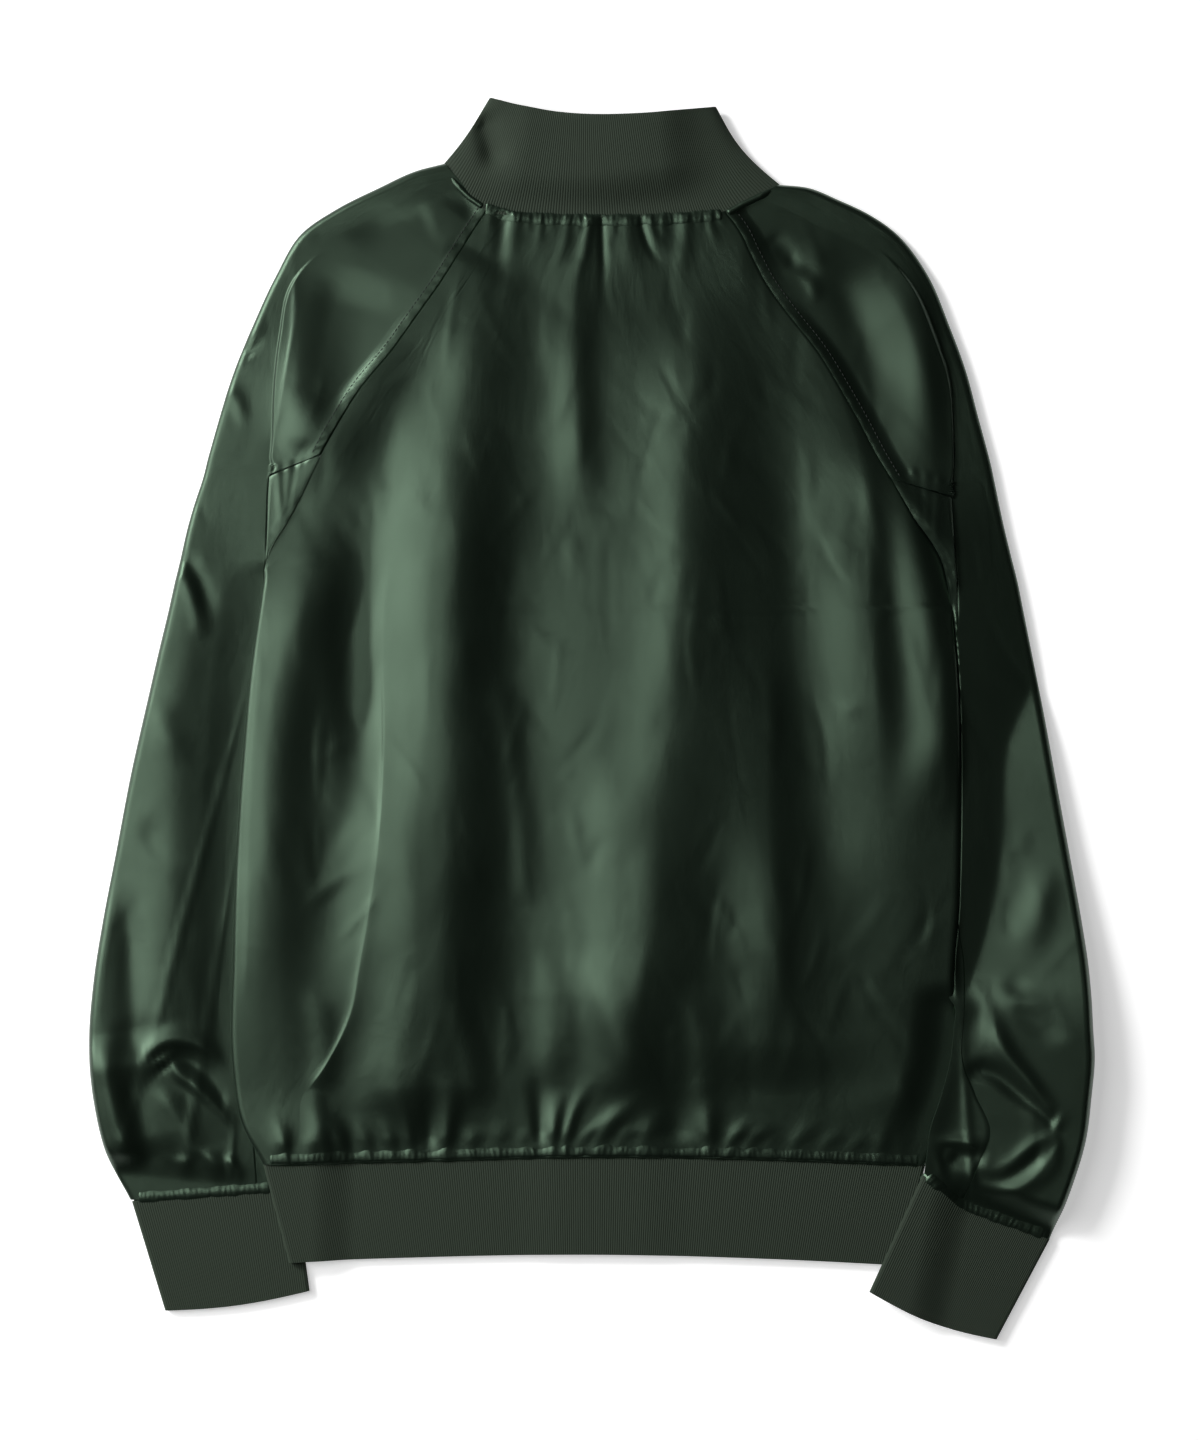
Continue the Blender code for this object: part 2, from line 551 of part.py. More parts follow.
def build_cuff(side, look):
    """A flat tube of rib on the end of a sleeve."""
    corners, bow, sag_place, sag = LEFT_CUFF if side == "left" else RIGHT_CUFF
    inner_top, outer_top, inner_end, outer_end = [Vector((x, y, 0)) for x, y in corners]
    half = RIB_STACK / 2
    rows = []
    for part in (0, 0.33, 0.67, 1):
        inner = inner_top.lerp(inner_end, part)
        outer = outer_top.lerp(outer_end, part)
        width = (outer - inner).length
        flat = sorted(spread(half, width - half, 6) + [sag_place * width])
        loop = [(out, RIB_STACK) for out in flat[:-1]]
        loop += [(width - half + out, up) for out, up in turn(half, 0, RIB_STACK)[::-1]]
        loop += [(out, 0) for out in flat[-2:0:-1]]
        loop += [(half - out, up) for out, up in turn(half, 0, RIB_STACK)[:-1]]
        row = []
        for out, up in loop:
            spot = inner.lerp(outer, out / width)
            along = min(max(out / width, 0), 1)
            sagged = sag * min(along / sag_place, (1 - along) / (1 - sag_place))
            dip = mix(sagged + SEAM, bow * sin(pi * along), part)
            row.append((spot.x, spot.y - dip, up + sleeve_floor(side, spot.x, spot.y)))
        rows.append(row[::-1] if side == "left" else row)
    return tube("cuff_" + side, rows, RIB, look)


def build_hem(look):
    """The hem rib: a flat band all round, open at the centre front."""
    half = RIB_STACK / 2
    climb = spread(*LEFT_CLIMB_X[::-1], 4)
    rows = []
    for part in (0, 0.33, 0.67, 1):
        left = mix(-216, -199, part)
        right = mix(220, 203, part)
        low_left = [-78] + climb[::-1]
        path = [(x, 0) for x in [ZIP_X - ZIP_HALF] + low_left]
        path += [(left + half - out, up) for out, up in turn(half, 0, RIB_STACK)]
        path += [(x, hem_stack(x)) for x in climb + [-110, -60, -20, 32, 80, 125, 170]]
        path += [(right - half + out, up) for out, up in turn(half, 0, RIB_STACK)[::-1]]
        path += [(x, 0) for x in (170, 90, ZIP_X + ZIP_HALF)]
        row = []
        for x, up in path:
            seam = read(HEM_SEAM, x) - SEAM
            y = mix(seam, read(HEM_END, x), part)
            row.append((x, y, up + body_floor(x, y)))
        rows.append(row)
    return cloth("hem_rib", rows, RIB, look)


def collar_point(place, part):
    """A point of the collar: its station round the neck, and part of its height."""
    spot = min(int(place), len(COLLAR) - 2)
    neck_x, neck_y, top_x, top_y, level = [
        bend(COLLAR, spot, place - spot, column) for column in range(5)]
    x = mix(neck_x, top_x, part)
    y = mix(neck_y, top_y, part)
    return (x, y, level + zip_lift(x, y) * ease(level, 2.0, 0.5))


def zip_lift(x, y):
    """How far the slider and its tab hold the collar's front off the surface."""
    return 3.2 * ease(y, 280, 303) * ease(abs(x - ZIP_X), 30, 8)


def build_collar(look):
    rows = []
    for part in (1, 0.75, 0.5, 0.25, 2 * SEAM / 66):
        rows.append([collar_point(place, part) for place in range(len(COLLAR))])
    return cloth("collar_rib", rows, RIB, look)


def add_blocks(name, blocks, look, origin):
    """One solid from boxes that run into each other: each low and high corner."""
    things = []
    for low, high in blocks:
        points = [(x, y, z) for x in (low[0], high[0]) for y in (low[1], high[1])
                  for z in (low[2], high[2])]
        faces = [(0, 1, 3, 2), (4, 6, 7, 5), (0, 4, 5, 1), (2, 3, 7, 6), (0, 2, 6, 4), (1, 5, 7, 3)]
        things.append(add_object(name, points, faces, look, origin))
    base = things[0]
    for other in things[1:]:
        other.name = name + "_cutter"
        other.hide_render = True
        other.display_type = "WIRE"
        join = base.modifiers.new("join", "BOOLEAN")
        join.operation = "UNION"
        join.solver = "EXACT"
        join.object = other
    base.name = name
    return base


def build_zip_tape(side, look):
    """A tape behind a front's edge, with its half of the closed chain between the fronts."""
    way = -1 if side == "left" else 1
    rows = []
    for y in (ZIP_TOP, 318, 303, 292, 280, 268, 240, -270, -284, -350):
        base = zip_lift(ZIP_X, y)
        wall = mix(SATIN, RIB, max(ease(y, 262, 276), ease(y, -274, -288)))
        back = base + wall + SEAM + TAPE
        outline = ((CHAIN_GAP, base + 0.1), (CHAIN_HALF, base + 0.1), (CHAIN_HALF, back - TAPE),
                   (TAPE_WIDTH, back - TAPE), (TAPE_WIDTH, back), (CHAIN_GAP, back))
        row = [(ZIP_X + way * out, y, up) for out, up in outline]
        rows.append(row if side == "left" else row[::-1])
    around = len(rows[0])
    points = [point for row in rows for point in row]
    faces = [tuple(range(around))[::-1], tuple(range(len(points) - around, len(points)))]
    for i in range(len(rows) - 1):
        for j in range(around):
            a, b = i * around + j, i * around + (j + 1) % around
            faces.append((a, b, b + around, a + around))
    return add_object("zip_tape_" + side, points, [face[::-1] for face in faces], look)


def build_slider(look):
    """The slider at the top of the chain: two plates, the wedge between, and the bridge."""
    half, length = SLIDER_HALF, SLIDER_LENGTH
    wedge_foot = ZIP_TOP + SEAM - (SLIDER_TOP - SLIDER_LENGTH)
    blocks = (
        ((-half, 0, 2.0), (half, length, 2.9)),
        ((-1.8, wedge_foot, 2.8), (1.8, length, 7.0)),
        ((-half, 0, 6.9), (half, length, 7.7)),
        ((-0.9, 1.6, 0), (0.9, 2.8, 2.1)),
        ((-0.9, 10.2, 0), (0.9, 11.4, 2.1)),
        ((-0.9, 1.7, 0), (0.9, 11.3, 0.6)))
    return add_blocks("zip_slider", blocks, look, (ZIP_X, SLIDER_TOP - SLIDER_LENGTH, 0))


def build_pull(look):
    """The pull tab, its crossbar through the slider's bridge and on the tab's own origin."""
    half, thick = PULL_HALF, PULL_WALL / 2
    blocks = (
        ((-half, -0.4, -thick), (half, 0.4, thick)),
        ((-half - 0.1, -5.2, -thick), (-2.0, 0.3, thick)),
        ((2.0, -5.2, -thick), (half + 0.1, 0.3, thick)),
        ((-half, -PULL_LENGTH, -thick), (half, -3.9, thick)))
    return add_blocks("zip_pull", blocks, look, (ZIP_X, PULL_AXIS_Y, PULL_AXIS_Z))


def build_all():
    for old in list(bpy.data.objects):
        bpy.data.objects.remove(old, do_unlink=True)
    satin = material("satin", (0.045, 0.10, 0.065), 0.36)
    rib = material("rib", (0.05, 0.08, 0.055), 0.9)
    build_back(satin)
    for side in ("left", "right"):
        build_front(side, satin)
        build_sleeve_top(side, satin)
        build_sleeve_under(side, satin)
        build_cuff(side, rib)
    build_hem(rib)
    build_collar(rib)
    tape = material("zip_tape", (0.03, 0.05, 0.035), 0.8)
    metal = material("zip_metal", (0.30, 0.30, 0.29), 0.35, 1.0)
    build_zip_tape("left", tape)
    build_zip_tape("right", tape)
    build_slider(metal)
    build_pull(metal)


build_all()
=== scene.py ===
"""The looks of a satin track jacket with raglan sleeves, laid flat with its back upwards.

Every piece is built on the form of its own solid in the frame, in the order in which the
jacket is sewn. Tables and functions hold millimetres, and MM turns them into metres.
"""

import bmesh
import bpy
import numpy as np
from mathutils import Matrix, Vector


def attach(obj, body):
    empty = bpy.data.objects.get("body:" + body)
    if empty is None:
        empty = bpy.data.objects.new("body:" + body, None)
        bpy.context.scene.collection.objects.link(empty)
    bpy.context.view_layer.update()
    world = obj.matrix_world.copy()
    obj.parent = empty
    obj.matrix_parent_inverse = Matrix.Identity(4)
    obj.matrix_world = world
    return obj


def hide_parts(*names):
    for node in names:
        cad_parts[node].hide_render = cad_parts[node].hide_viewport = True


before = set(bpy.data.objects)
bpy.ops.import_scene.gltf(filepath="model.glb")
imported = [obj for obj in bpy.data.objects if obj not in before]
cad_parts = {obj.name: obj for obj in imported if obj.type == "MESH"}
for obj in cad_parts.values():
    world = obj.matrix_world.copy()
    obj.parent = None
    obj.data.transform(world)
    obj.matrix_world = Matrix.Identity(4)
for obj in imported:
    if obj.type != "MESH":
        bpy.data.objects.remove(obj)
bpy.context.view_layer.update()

# --- The back -------------------------------------------------------------------------------
# One panel of nylon satin from the neck to the hem. Its raglan edges are sewn to the sleeves,
# and below them it turns under at the sides, where the front continues it. It is gathered on
# to the collar and the hem rib, and those gathers run out into its long soft folds.
MM = 0.001
SATIN = 1.5            # wall
SEAM = 0.08            # clear space between two pieces
HALF_SEAM = 0.04
SEAM_DIP = 0.45        # how far the cloth is drawn down at a seam
PLATEAU = 6.8          # upper face where it lies on the fronts
NECK_LEVEL = 10.6      # upper face along the neck seam
LIFT = 5.2             # lower face where it lies over a sleeve
PRESSED = 5.8          # upper face where the right sleeve lies over it
EDGE_LEVEL = 10.6      # upper face along its free edges
EDGE_RADIUS = 3.4      # half-width of its turned edges
SIDE_TURN = 9.0        # how far it reaches under them
INSIDE_ROOM = 1.8
RIB_STACK = 4.8        # two layers of rib
HEM_RISE = 1.8         # satin above the rib along the hem seam
NECK_ROW, NECK_CURVE = 334, 300        # y of its first row, and where rows take up the neck's curve
HEM_ROW, HEM_CURVE = -294.5, -235      # y of its last row, and where rows take up the hem's
UNDERARM = {"left": 107, "right": 77}
# Outline from the neck seam down the raglan and the turned edge: y, x.
SIDES = {
    "left": ((334, -69), (322, -77), (306, -87), (287, -99), (266, -114), (243, -130.5),
             (217, -152), (194, -166.5), (174, -178), (147, -191), (132, -199), (107, -213),
             (79, -217.5), (26, -225), (-19, -229), (-75, -233), (-158, -236), (-230, -236),
             (-270, -229), (-295, -216), (-360, -199)),
    "right": ((334, 88), (322, 97), (306, 105), (287, 115), (266, 130), (243, 148), (217, 164),
              (194, 177), (174, 187.5), (158, 197), (132, 212), (107, 229), (92, 233.5),
              (77, 237), (46, 240), (-53, 243), (-119, 242), (-185, 240), (-205, 244.5),
              (-230, 244.5), (-265, 237), (-295, 220), (-360, 204), (-410, 196))}
NECK_SEAM = ((-69, 334), (-31, 331), (11, 330), (52, 331), (88, 334))             # x, y
HEM_SEAM = ((-216, -293), (-120, -291), (6, -288), (120, -290), (220, -294))      # x, y

# Folds: width on the crest's left or lower side, width on the other, height, the lengths over
# which it rises and falls away (0: at a seam), then points along the crest.
BACK_FOLDS = (
    (14, 34, 5.6, 24, 70, (-78, 322), (-106, 283), (-140, 240), (-170, 200), (-188, 160), (-199, 132)),
    (20, 24, 4.8, 70, 110, (-176, 150), (-182, 98), (-195, 49), (-208, 0), (-214, -93), (-216, -172),
     (-210, -250)),
    (30, 14, -3.2, 50, 90, (-128, 215), (-140, 165), (-147, 110), (-150, 40), (-154, -70)),
    (20, 24, 2.8, 80, 110, (-84, 200), (-86, 80), (-88, -50), (-92, -185), (-100, -290)),
    (26, 42, 7.6, 100, 72, (-66, 318), (-72, 250), (-85, 197), (-98, 144), (-105, 79), (-108, 13),
     (-111, -53), (-113, -119), (-116, -185), (-124, -245), (-128, -300)),
    (22, 34, 4.2, 80, 70, (-137, -20), (-141, -80), (-144, -130), (-151, -185), (-168, -245)),
    (24, 38, 4.4, 80, 76, (82, 300), (75, 247), (65, 197), (62, 98), (53, 0), (45, -100), (42, -149),
     (32, -199), (30, -290)),
    (64, 56, 3.6, 90, 60, (78, 300), (64, 197), (54, 50), (40, -93), (26, -240)),
    (16, 13, 3.0, 24, 70, (-8, 322), (-12, 247), (-10, 197), (-4, 120)),
    (34, 14, 4.6, 36, 120, (140, 285), (158, 232), (171, 190), (180, 131), (183, 79), (186, 13), (188, -80)),
    (20, 12, 5.4, 50, 70, (190, 190), (214, 110), (225, 60), (230, 0), (228, -80)),
    (20, 26, 3.0, 60, 36, (14, -10), (16, -90), (17, -160), (20, -262)),
    (30, 14, 2.8, 80, 90, (110, 60), (115, -40), (118, -100), (121, -152), (118, -240)),
    (10, 12, 0.9, 30, 30, (-174, 60), (-170, -20), (-168, -80)),
    (26, 36, -2.0, 60, 70, (-50, 280), (-50, 160), (-48, 20), (-46, -120), (-48, -240)),
    (18, 24, -1.8, 60, 60, (124, 200), (132, 90), (146, -20), (154, -140)),
    (40, 48, 4.2, 70, 40, (118, -50), (124, -120), (127, -180), (122, -250)),
    (8, 9, 0.9, 20, 30, (-62, 30), (-48, -50), (-42, -130)),
    (4, 5, 0.4, 20, 24, (-184, -30), (-150, -8)),
    (5, 6, 0.6, 20, 20, (-192, -126), (-164, -104), (-150, -96)),
    (5, 6, 0.6, 16, 16, (184, 8), (172, 6), (158, 14)),
    (9, 14, 1.5, 30, 30, (-6, -150), (12, -196), (34, -244)),
    (10, 12, 1.3, 30, 30, (-32, -150), (-24, -200), (-30, -250)),
    (8, 12, 1.6, 30, 24, (66, -170), (74, -220), (72, -262)),
    (9, 10, 1.4, 26, 26, (-184, -170), (-176, -215), (-182, -258)),
    (8, 10, 1.2, 22, 20, (-92, -180), (-80, -225), (-76, -262)))
# The crisp line of a pressed fold.
CREASE_LINE = (  # y, x of the longest one, down which the cloth's mesh is finer
    (334, -45), (300, -70), (266, -92), (200, -116), (110, -134), (40, -137), (-27, -137), (-93, -141),
    (-126, -146), (-165, -153), (-192, -158), (-225, -173), (-246, -187), (-295, -198))
HALF_CREASE = 3        # half the width of the finer strip
BACK_COLUMNS = (45, 14, 193)   # before, in and after that strip
BACK_CREASES = (
    (1.7, 8.0, 1.0, 110, 16, (-136, 80), (-137, 40), (-137, -27), (-141, -93), (-146, -126),
     (-153, -165), (-158, -192), (-173, -225), (-187, -246)),
    (1.2, 5.0, 0.5, 30, 30, (-216, 60), (-223, -20), (-227, -120), (-228, -190)))
# Gathers: place along the seam, reach, lean, half-width, height.
NECK_GATHERS = (
    (-66, 12, -4, 2.6, 0.3), (-58, 66, -8, 5.5, -1.1), (-49, 50, -20, 6.0, 0.9), (-41, 10, -2, 2.6, 0.3),
    (-33, 22, -4, 3.0, 0.4), (-25, 9, -2, 2.4, 0.3), (-15, 30, -9, 4.0, 0.6), (-8, 10, -2, 2.4, 0.3),
    (-1, 50, -14, 4.4, 1.3), (7, 70, 3, 3.0, -1.1), (14, 12, 1, 2.6, 0.4), (23, 40, 6, 6.0, 0.9),
    (32, 30, 14, 2.6, -0.9), (38, 18, 8, 3.2, 0.6), (46, 11, 3, 2.6, 0.3), (53, 24, 9, 5.0, -0.5),
    (62, 52, -6, 5.0, 0.9), (70, 11, 3, 2.6, 0.3), (77, 22, 6, 3.4, 0.5), (84, 10, 3, 2.6, 0.3))
HEM_GATHERS = (
    (-206, 24, 3, 5.0, 0.9), (-200, 30, -8, 4.0, 1.4), (-186, 24, 8, 4.0, 1.0),
    (-174, 40, -12, 5.0, 1.5), (-162, 30, -14, 4.5, 1.8), (-146, 26, -12, 4.0, 1.5),
    (-131, 26, -8, 4.0, 1.7), (-118, 44, -13, 4.5, 2.0), (-107, 60, 2, 4.5, -1.8),
    (-97, 50, 8, 5.0, 2.1), (-80, 17, 4, 4.0, 1.2), (-62, 22, 5, 5.0, 0.7),
    (-46, 14, 2, 3.4, 0.6), (-34, 60, -2, 4.0, -1.8), (-26, 36, 5, 3.4, 1.8), (-18, 44, 16, 3.4, 1.5),
    (-9, 22, 24, 3.0, 0.8), (3, 34, 28, 4.6, 1.4), (17, 15, 14, 3.4, 0.6), (34, 25, 12, 5.2, 1.0),
    (55, 60, 4, 10.0, -2.0), (78, 42, -4, 4.8, 2.0), (89, 21, 18, 3.6, 1.3), (101, 18, 18, 3.6, 1.0),
    (116, 12, 6, 3.4, 0.5), (131, 24, 20, 5.0, 0.8), (150, 17, 16, 4.0, 0.6), (168, 15, 14, 4.0, 0.5),
    (189, 27, 6, 4.4, 0.9), (203, 21, 6, 4.0, 0.7))
# Where one level eases into the next: from, to.
HEM_EASE, HEM_FLAT = (50, 2), (14, 2)      # above the hem seam: down to it, and its gathers pressed flat
SIDE_SHUT = (1, -36)                       # below the underarm: the side turns under
LEFT_CLIMB_X, LEFT_CLIMB_Y = (-156, -184), (102, 80)
RIGHT_CLIMB_X, RIGHT_CLIMB_Y, RIGHT_DROP_Y = (205, 227), (69, 50), (-182, -158)
SLEEVE_OUT_Y = (-172, -190)
SLEEVE_PRESS = (30, 6)
NECK_RISE_Y, NECK_RISE_X, NECK_MIDDLE = (262, 318), (118, 88), 10
LEFT_EDGE_X, LEFT_EDGE_Y = (-150, -206), (128, 60)
RIGHT_EDGE_X, RIGHT_EDGE_Y = (150, 214), (150, 40)
ZIP_X = 6.0            # centre front
ZIP_STACK = 1.3        # added to the hem's two layers by the zip's tapes
ZIP_SPREAD = (60, 26)


def ease(value, start, end):
    """0 at start and 1 at end, soft at both."""
    part = np.clip((value - start) / (end - start), 0, 1)
    return part * part * (3 - 2 * part)


def mix(first, second, part):
    return first + (second - first) * part


def smooth(rows):
    """A function of a table's first column: the smooth line through its second."""
    at, value = np.array(sorted(rows), float)[:, :2].T
    step = np.diff(at)
    rise = np.diff(value) / step
    between = (rise[:-1] * step[1:] + rise[1:] * step[:-1]) / (step[1:] + step[:-1])
    slope = np.concatenate([rise[:1], between, rise[-1:]])

    def line(place):
        spot = np.clip(np.searchsorted(at, place, side="right") - 1, 0, len(step) - 1)
        part = np.clip((place - at[spot]) / step[spot], 0, 1)
        rest = 1 - part
        bow = step[spot] * part * rest * (slope[spot] * rest - slope[spot + 1] * part)
        return value[spot] * rest ** 2 * (1 + 2 * part) + value[spot + 1] * part ** 2 * (3 - 2 * part) + bow

    return line


def relief(x, y, folds, crisp=False, fan=0.0):
    """Height that folds add at x, y. Crisp ones are pointed, and fanned ones widen.

    Each fold also wanders and swells a little along its length, by sines of its own.
    """
    total = np.zeros(np.broadcast(x, y).shape)
    for left, right, height, rising, falling, *crest in folds:
        points = np.array(crest, float)
        chord = points[-1] - points[0]
        length = np.hypot(*chord)
        run = chord / length
        aside = np.array([-run[1], run[0]])
        own = 0.37 * points[0, 0] + 0.23 * points[0, 1] + 1.7 * height
        middle = smooth(list(zip((points - points[0]) @ run, (points - points[0]) @ aside)))
        along = (x - points[0, 0]) * run[0] + (y - points[0, 1]) * run[1]
        across = (x - points[0, 0]) * aside[0] + (y - points[0, 1]) * aside[1] - middle(along)
        across = across + 0.02 * (left + right) * np.sin(along / 26 + own)
        width = np.where(across < 0, left, right) * (1 + fan * np.clip(along / length, 0, 1))
        width = width * (1 + 0.09 * np.sin(along / 38 + 2 * own) + 0.04 * np.sin(along / 11 + 3 * own))
        strength = ease(along, 0, rising) if rising else 1
        strength = strength * (ease(length - along, 0, falling) if falling else 1)
        strength = strength * (1 + 0.08 * np.sin(along / 31 + 5 * own))
        if crisp:
            total = total + height * strength * np.exp(0.3 - np.hypot(across / width, 0.3))
        else:
            total = total + height * strength * np.exp(-(across / width) ** 2)
    return total


def crinkles(seed, count, low, high, lean, height):
    """Small soft creases strewn between two corners, about a main direction in degrees."""
    chance = np.random.default_rng(seed)
    rows = []
    for _ in range(count):
        spot = chance.uniform(low, high)
        angle = np.radians(chance.normal(lean, 24))
        reach = chance.uniform(12, 46)
        step = reach * np.array([np.cos(angle), np.sin(angle)])
        bow = chance.uniform(-0.12, 0.12) * np.array([-step[1], step[0]])
        wide = chance.uniform(2.5, 7.0, 2)
        tall = height * chance.uniform(0.3, 1.0) * chance.choice([-1, 1])
        rows.append((wide[0], wide[1], tall, reach * 0.8, reach * 0.8,
                     tuple(spot - step), tuple(spot + bow), tuple(spot + step)))
    return rows


def gathers(table, seam, way):
    """Rows of folds that start on a seam and run out on one side of it, up (1) or down (-1)."""
    return [(0.8 * wide, 0.8 * wide, height, 0, reach, (place, float(seam(place))),
             (place + 0.4 * lean, float(seam(place)) + 0.6 * way * reach),
             (place + 1.3 * lean, float(seam(place)) + 1.3 * way * reach))
            for place, reach, lean, wide, height in table]


side_x = {side: smooth(rows) for side, rows in SIDES.items()}
neck_y = smooth(NECK_SEAM)
hem_y = smooth(HEM_SEAM)
back_crinkles = crinkles(7, 170, (-225, -250), (235, 320), -90, 0.34) + crinkles(
    8, 110, (-225, -270), (235, 320), -50, 0.2)
neck_rows = gathers(NECK_GATHERS, neck_y, -1)
hem_rows = gathers(HEM_GATHERS, hem_y, 1)
right_inner = smooth(((-377, 183), (-322, 219), (-284, 221), (-269, 223), (-246, 230.6),
                      (-221, 236.6), (-202, 238.6), (-182, 240.6), (-160, 241.4), (-94, 233)))


def body_floor(x, y):
    """Lower face of the fronts and the hem, raised where a sleeve is tucked under."""
    left = ease(x, *LEFT_CLIMB_X) * ease(y, *LEFT_CLIMB_Y)
    right = ease(x, *RIGHT_CLIMB_X) * ease(y, *RIGHT_CLIMB_Y) * ease(y, *RIGHT_DROP_Y)
    return LIFT * np.maximum(left, right)


def hem_stack(x):
    return RIB_STACK + ZIP_STACK * ease(abs(x - ZIP_X), *ZIP_SPREAD)


def body_top(x, y):
    """Upper face of the back."""
    height = PLATEAU + relief(x, y, BACK_FOLDS) + relief(x, y, BACK_CREASES, crisp=True)
    height = height + relief(x, y, back_crinkles)
    neck = ease(y, *NECK_RISE_Y) * ease(abs(x - NECK_MIDDLE), *NECK_RISE_X)
    height = mix(height, np.maximum(NECK_LEVEL, 0.5 * height + 6), neck)
    height = mix(height, NECK_LEVEL, neck * ease(y, 300, 330))
    height = height + relief(x, y, neck_rows, fan=0.8) * neck
    left = ease(x, *LEFT_EDGE_X) * ease(y, *LEFT_EDGE_Y)
    right = ease(x, *RIGHT_EDGE_X) * ease(y, *RIGHT_EDGE_Y)
    height = height + (EDGE_LEVEL - PLATEAU) * np.maximum(left, right)
    height = np.maximum(height, body_floor(x, y) + 2 * SATIN + INSIDE_ROOM)
    above = y - hem_y(x)
    stack = body_floor(x, y) + hem_stack(x)
    height = mix(height, stack + HEM_RISE, ease(above, *HEM_EASE))
    height = height + relief(x, y, hem_rows, fan=1.4) * (1 - 0.7 * ease(above, *HEM_FLAT))
    under_sleeve = ease(right_inner(y) - x, *SLEEVE_PRESS) * ease(y, *SLEEVE_OUT_Y)
    return mix(height, PRESSED, under_sleeve)


def turned_edge(closed, low, high, steps=12):
    """The edge strip from its end to the top, as distances inwards and up.

    It stands open where closed is 0 and lies turned under where closed is 1.
    """
    angle = closed * np.pi
    bent = closed * np.pi * EDGE_RADIUS
    opening = 12 * (1 - ease(closed, 0, 0.12))
    straight = max(opening, (SIDE_TURN - EDGE_RADIUS) * ease(closed, 0.5, 1), 0.6)
    if np.sin(angle) > 0.05:
        room = EDGE_RADIUS * (1 + np.cos(angle)) - SATIN * max(np.cos(angle), 0)
        straight = min(straight, room / np.sin(angle))
    run = (bent + straight) * np.linspace(1, 0, steps)
    turned = np.minimum(run, bent) / EDGE_RADIUS
    past = np.maximum(run - bent, 0)
    aside = EDGE_RADIUS * np.sin(turned) + past * np.cos(turned)
    down = EDGE_RADIUS * (1 - np.cos(turned)) + past * np.sin(turned)
    start = EDGE_RADIUS
    if closed <= 0.5:
        start = EDGE_RADIUS * np.sin(angle) + straight * np.cos(angle)
    start = max(start, EDGE_RADIUS * np.sin(min(angle, np.pi / 2)))
    return np.array([start - aside, high - down * (high - low) / (2 * EDGE_RADIUS)])


def toward(y, start, end, seam):
    """Rows beyond the start, spread so that the one at the end lies along a seam."""
    beyond = (y - start) / (end - start)
    return np.where(beyond > 0, mix(start, seam, beyond), y)


def back_sheet():
    """The back's outer face: rows from the neck seam to the hem seam."""
    levels = np.concatenate([np.linspace(NECK_ROW, NECK_CURVE, 22)[:-1],
                             np.linspace(NECK_CURVE, HEM_CURVE, 172)[:-1],
                             np.linspace(HEM_CURVE, HEM_ROW, 39)])
    strips = []
    for side, way in (("left", 1), ("right", -1)):
        closed = ease(levels - UNDERARM[side], *SIDE_SHUT)
        edge = side_x[side](levels) + way * HALF_SEAM
        high = body_top(edge + EDGE_RADIUS * way, levels)
        turned = np.array([turned_edge(*each) for each in zip(closed, body_floor(edge, levels), high)])
        x = edge[:, None] + way * turned[:, 0]
        up = mix(body_top(x, levels[:, None]), turned[:, 1], ease(closed, 0, 0.35)[:, None])
        up[:, 0] -= SEAM_DIP * (1 - closed) * (side == "right")
        strips.append(np.stack([x, up], 2)[:, ::way])
    crease = smooth(CREASE_LINE)(levels)
    stops = (strips[0][:, -1, 0], crease - HALF_CREASE, crease + HALF_CREASE, strips[1][:, 0, 0])
    x = np.concatenate([np.linspace(first, last, count + 1, axis=1)[:, 1:] for first, last, count
                        in zip(stops, stops[1:], BACK_COLUMNS)], 1)[:, :-1]
    middle = np.stack([x, body_top(x, levels[:, None])], 2)
    sheet = np.concatenate([strips[0], middle, strips[1]], 1)
    x, y = sheet[..., 0], levels[:, None] + 0 * sheet[..., 0]
    y = toward(y, NECK_CURVE, NECK_ROW, neck_y(x) - HALF_SEAM)
    y = toward(y, HEM_CURVE, HEM_ROW, hem_y(x) + HALF_SEAM)
    return np.stack([x, y, sheet[..., 1]], 2)


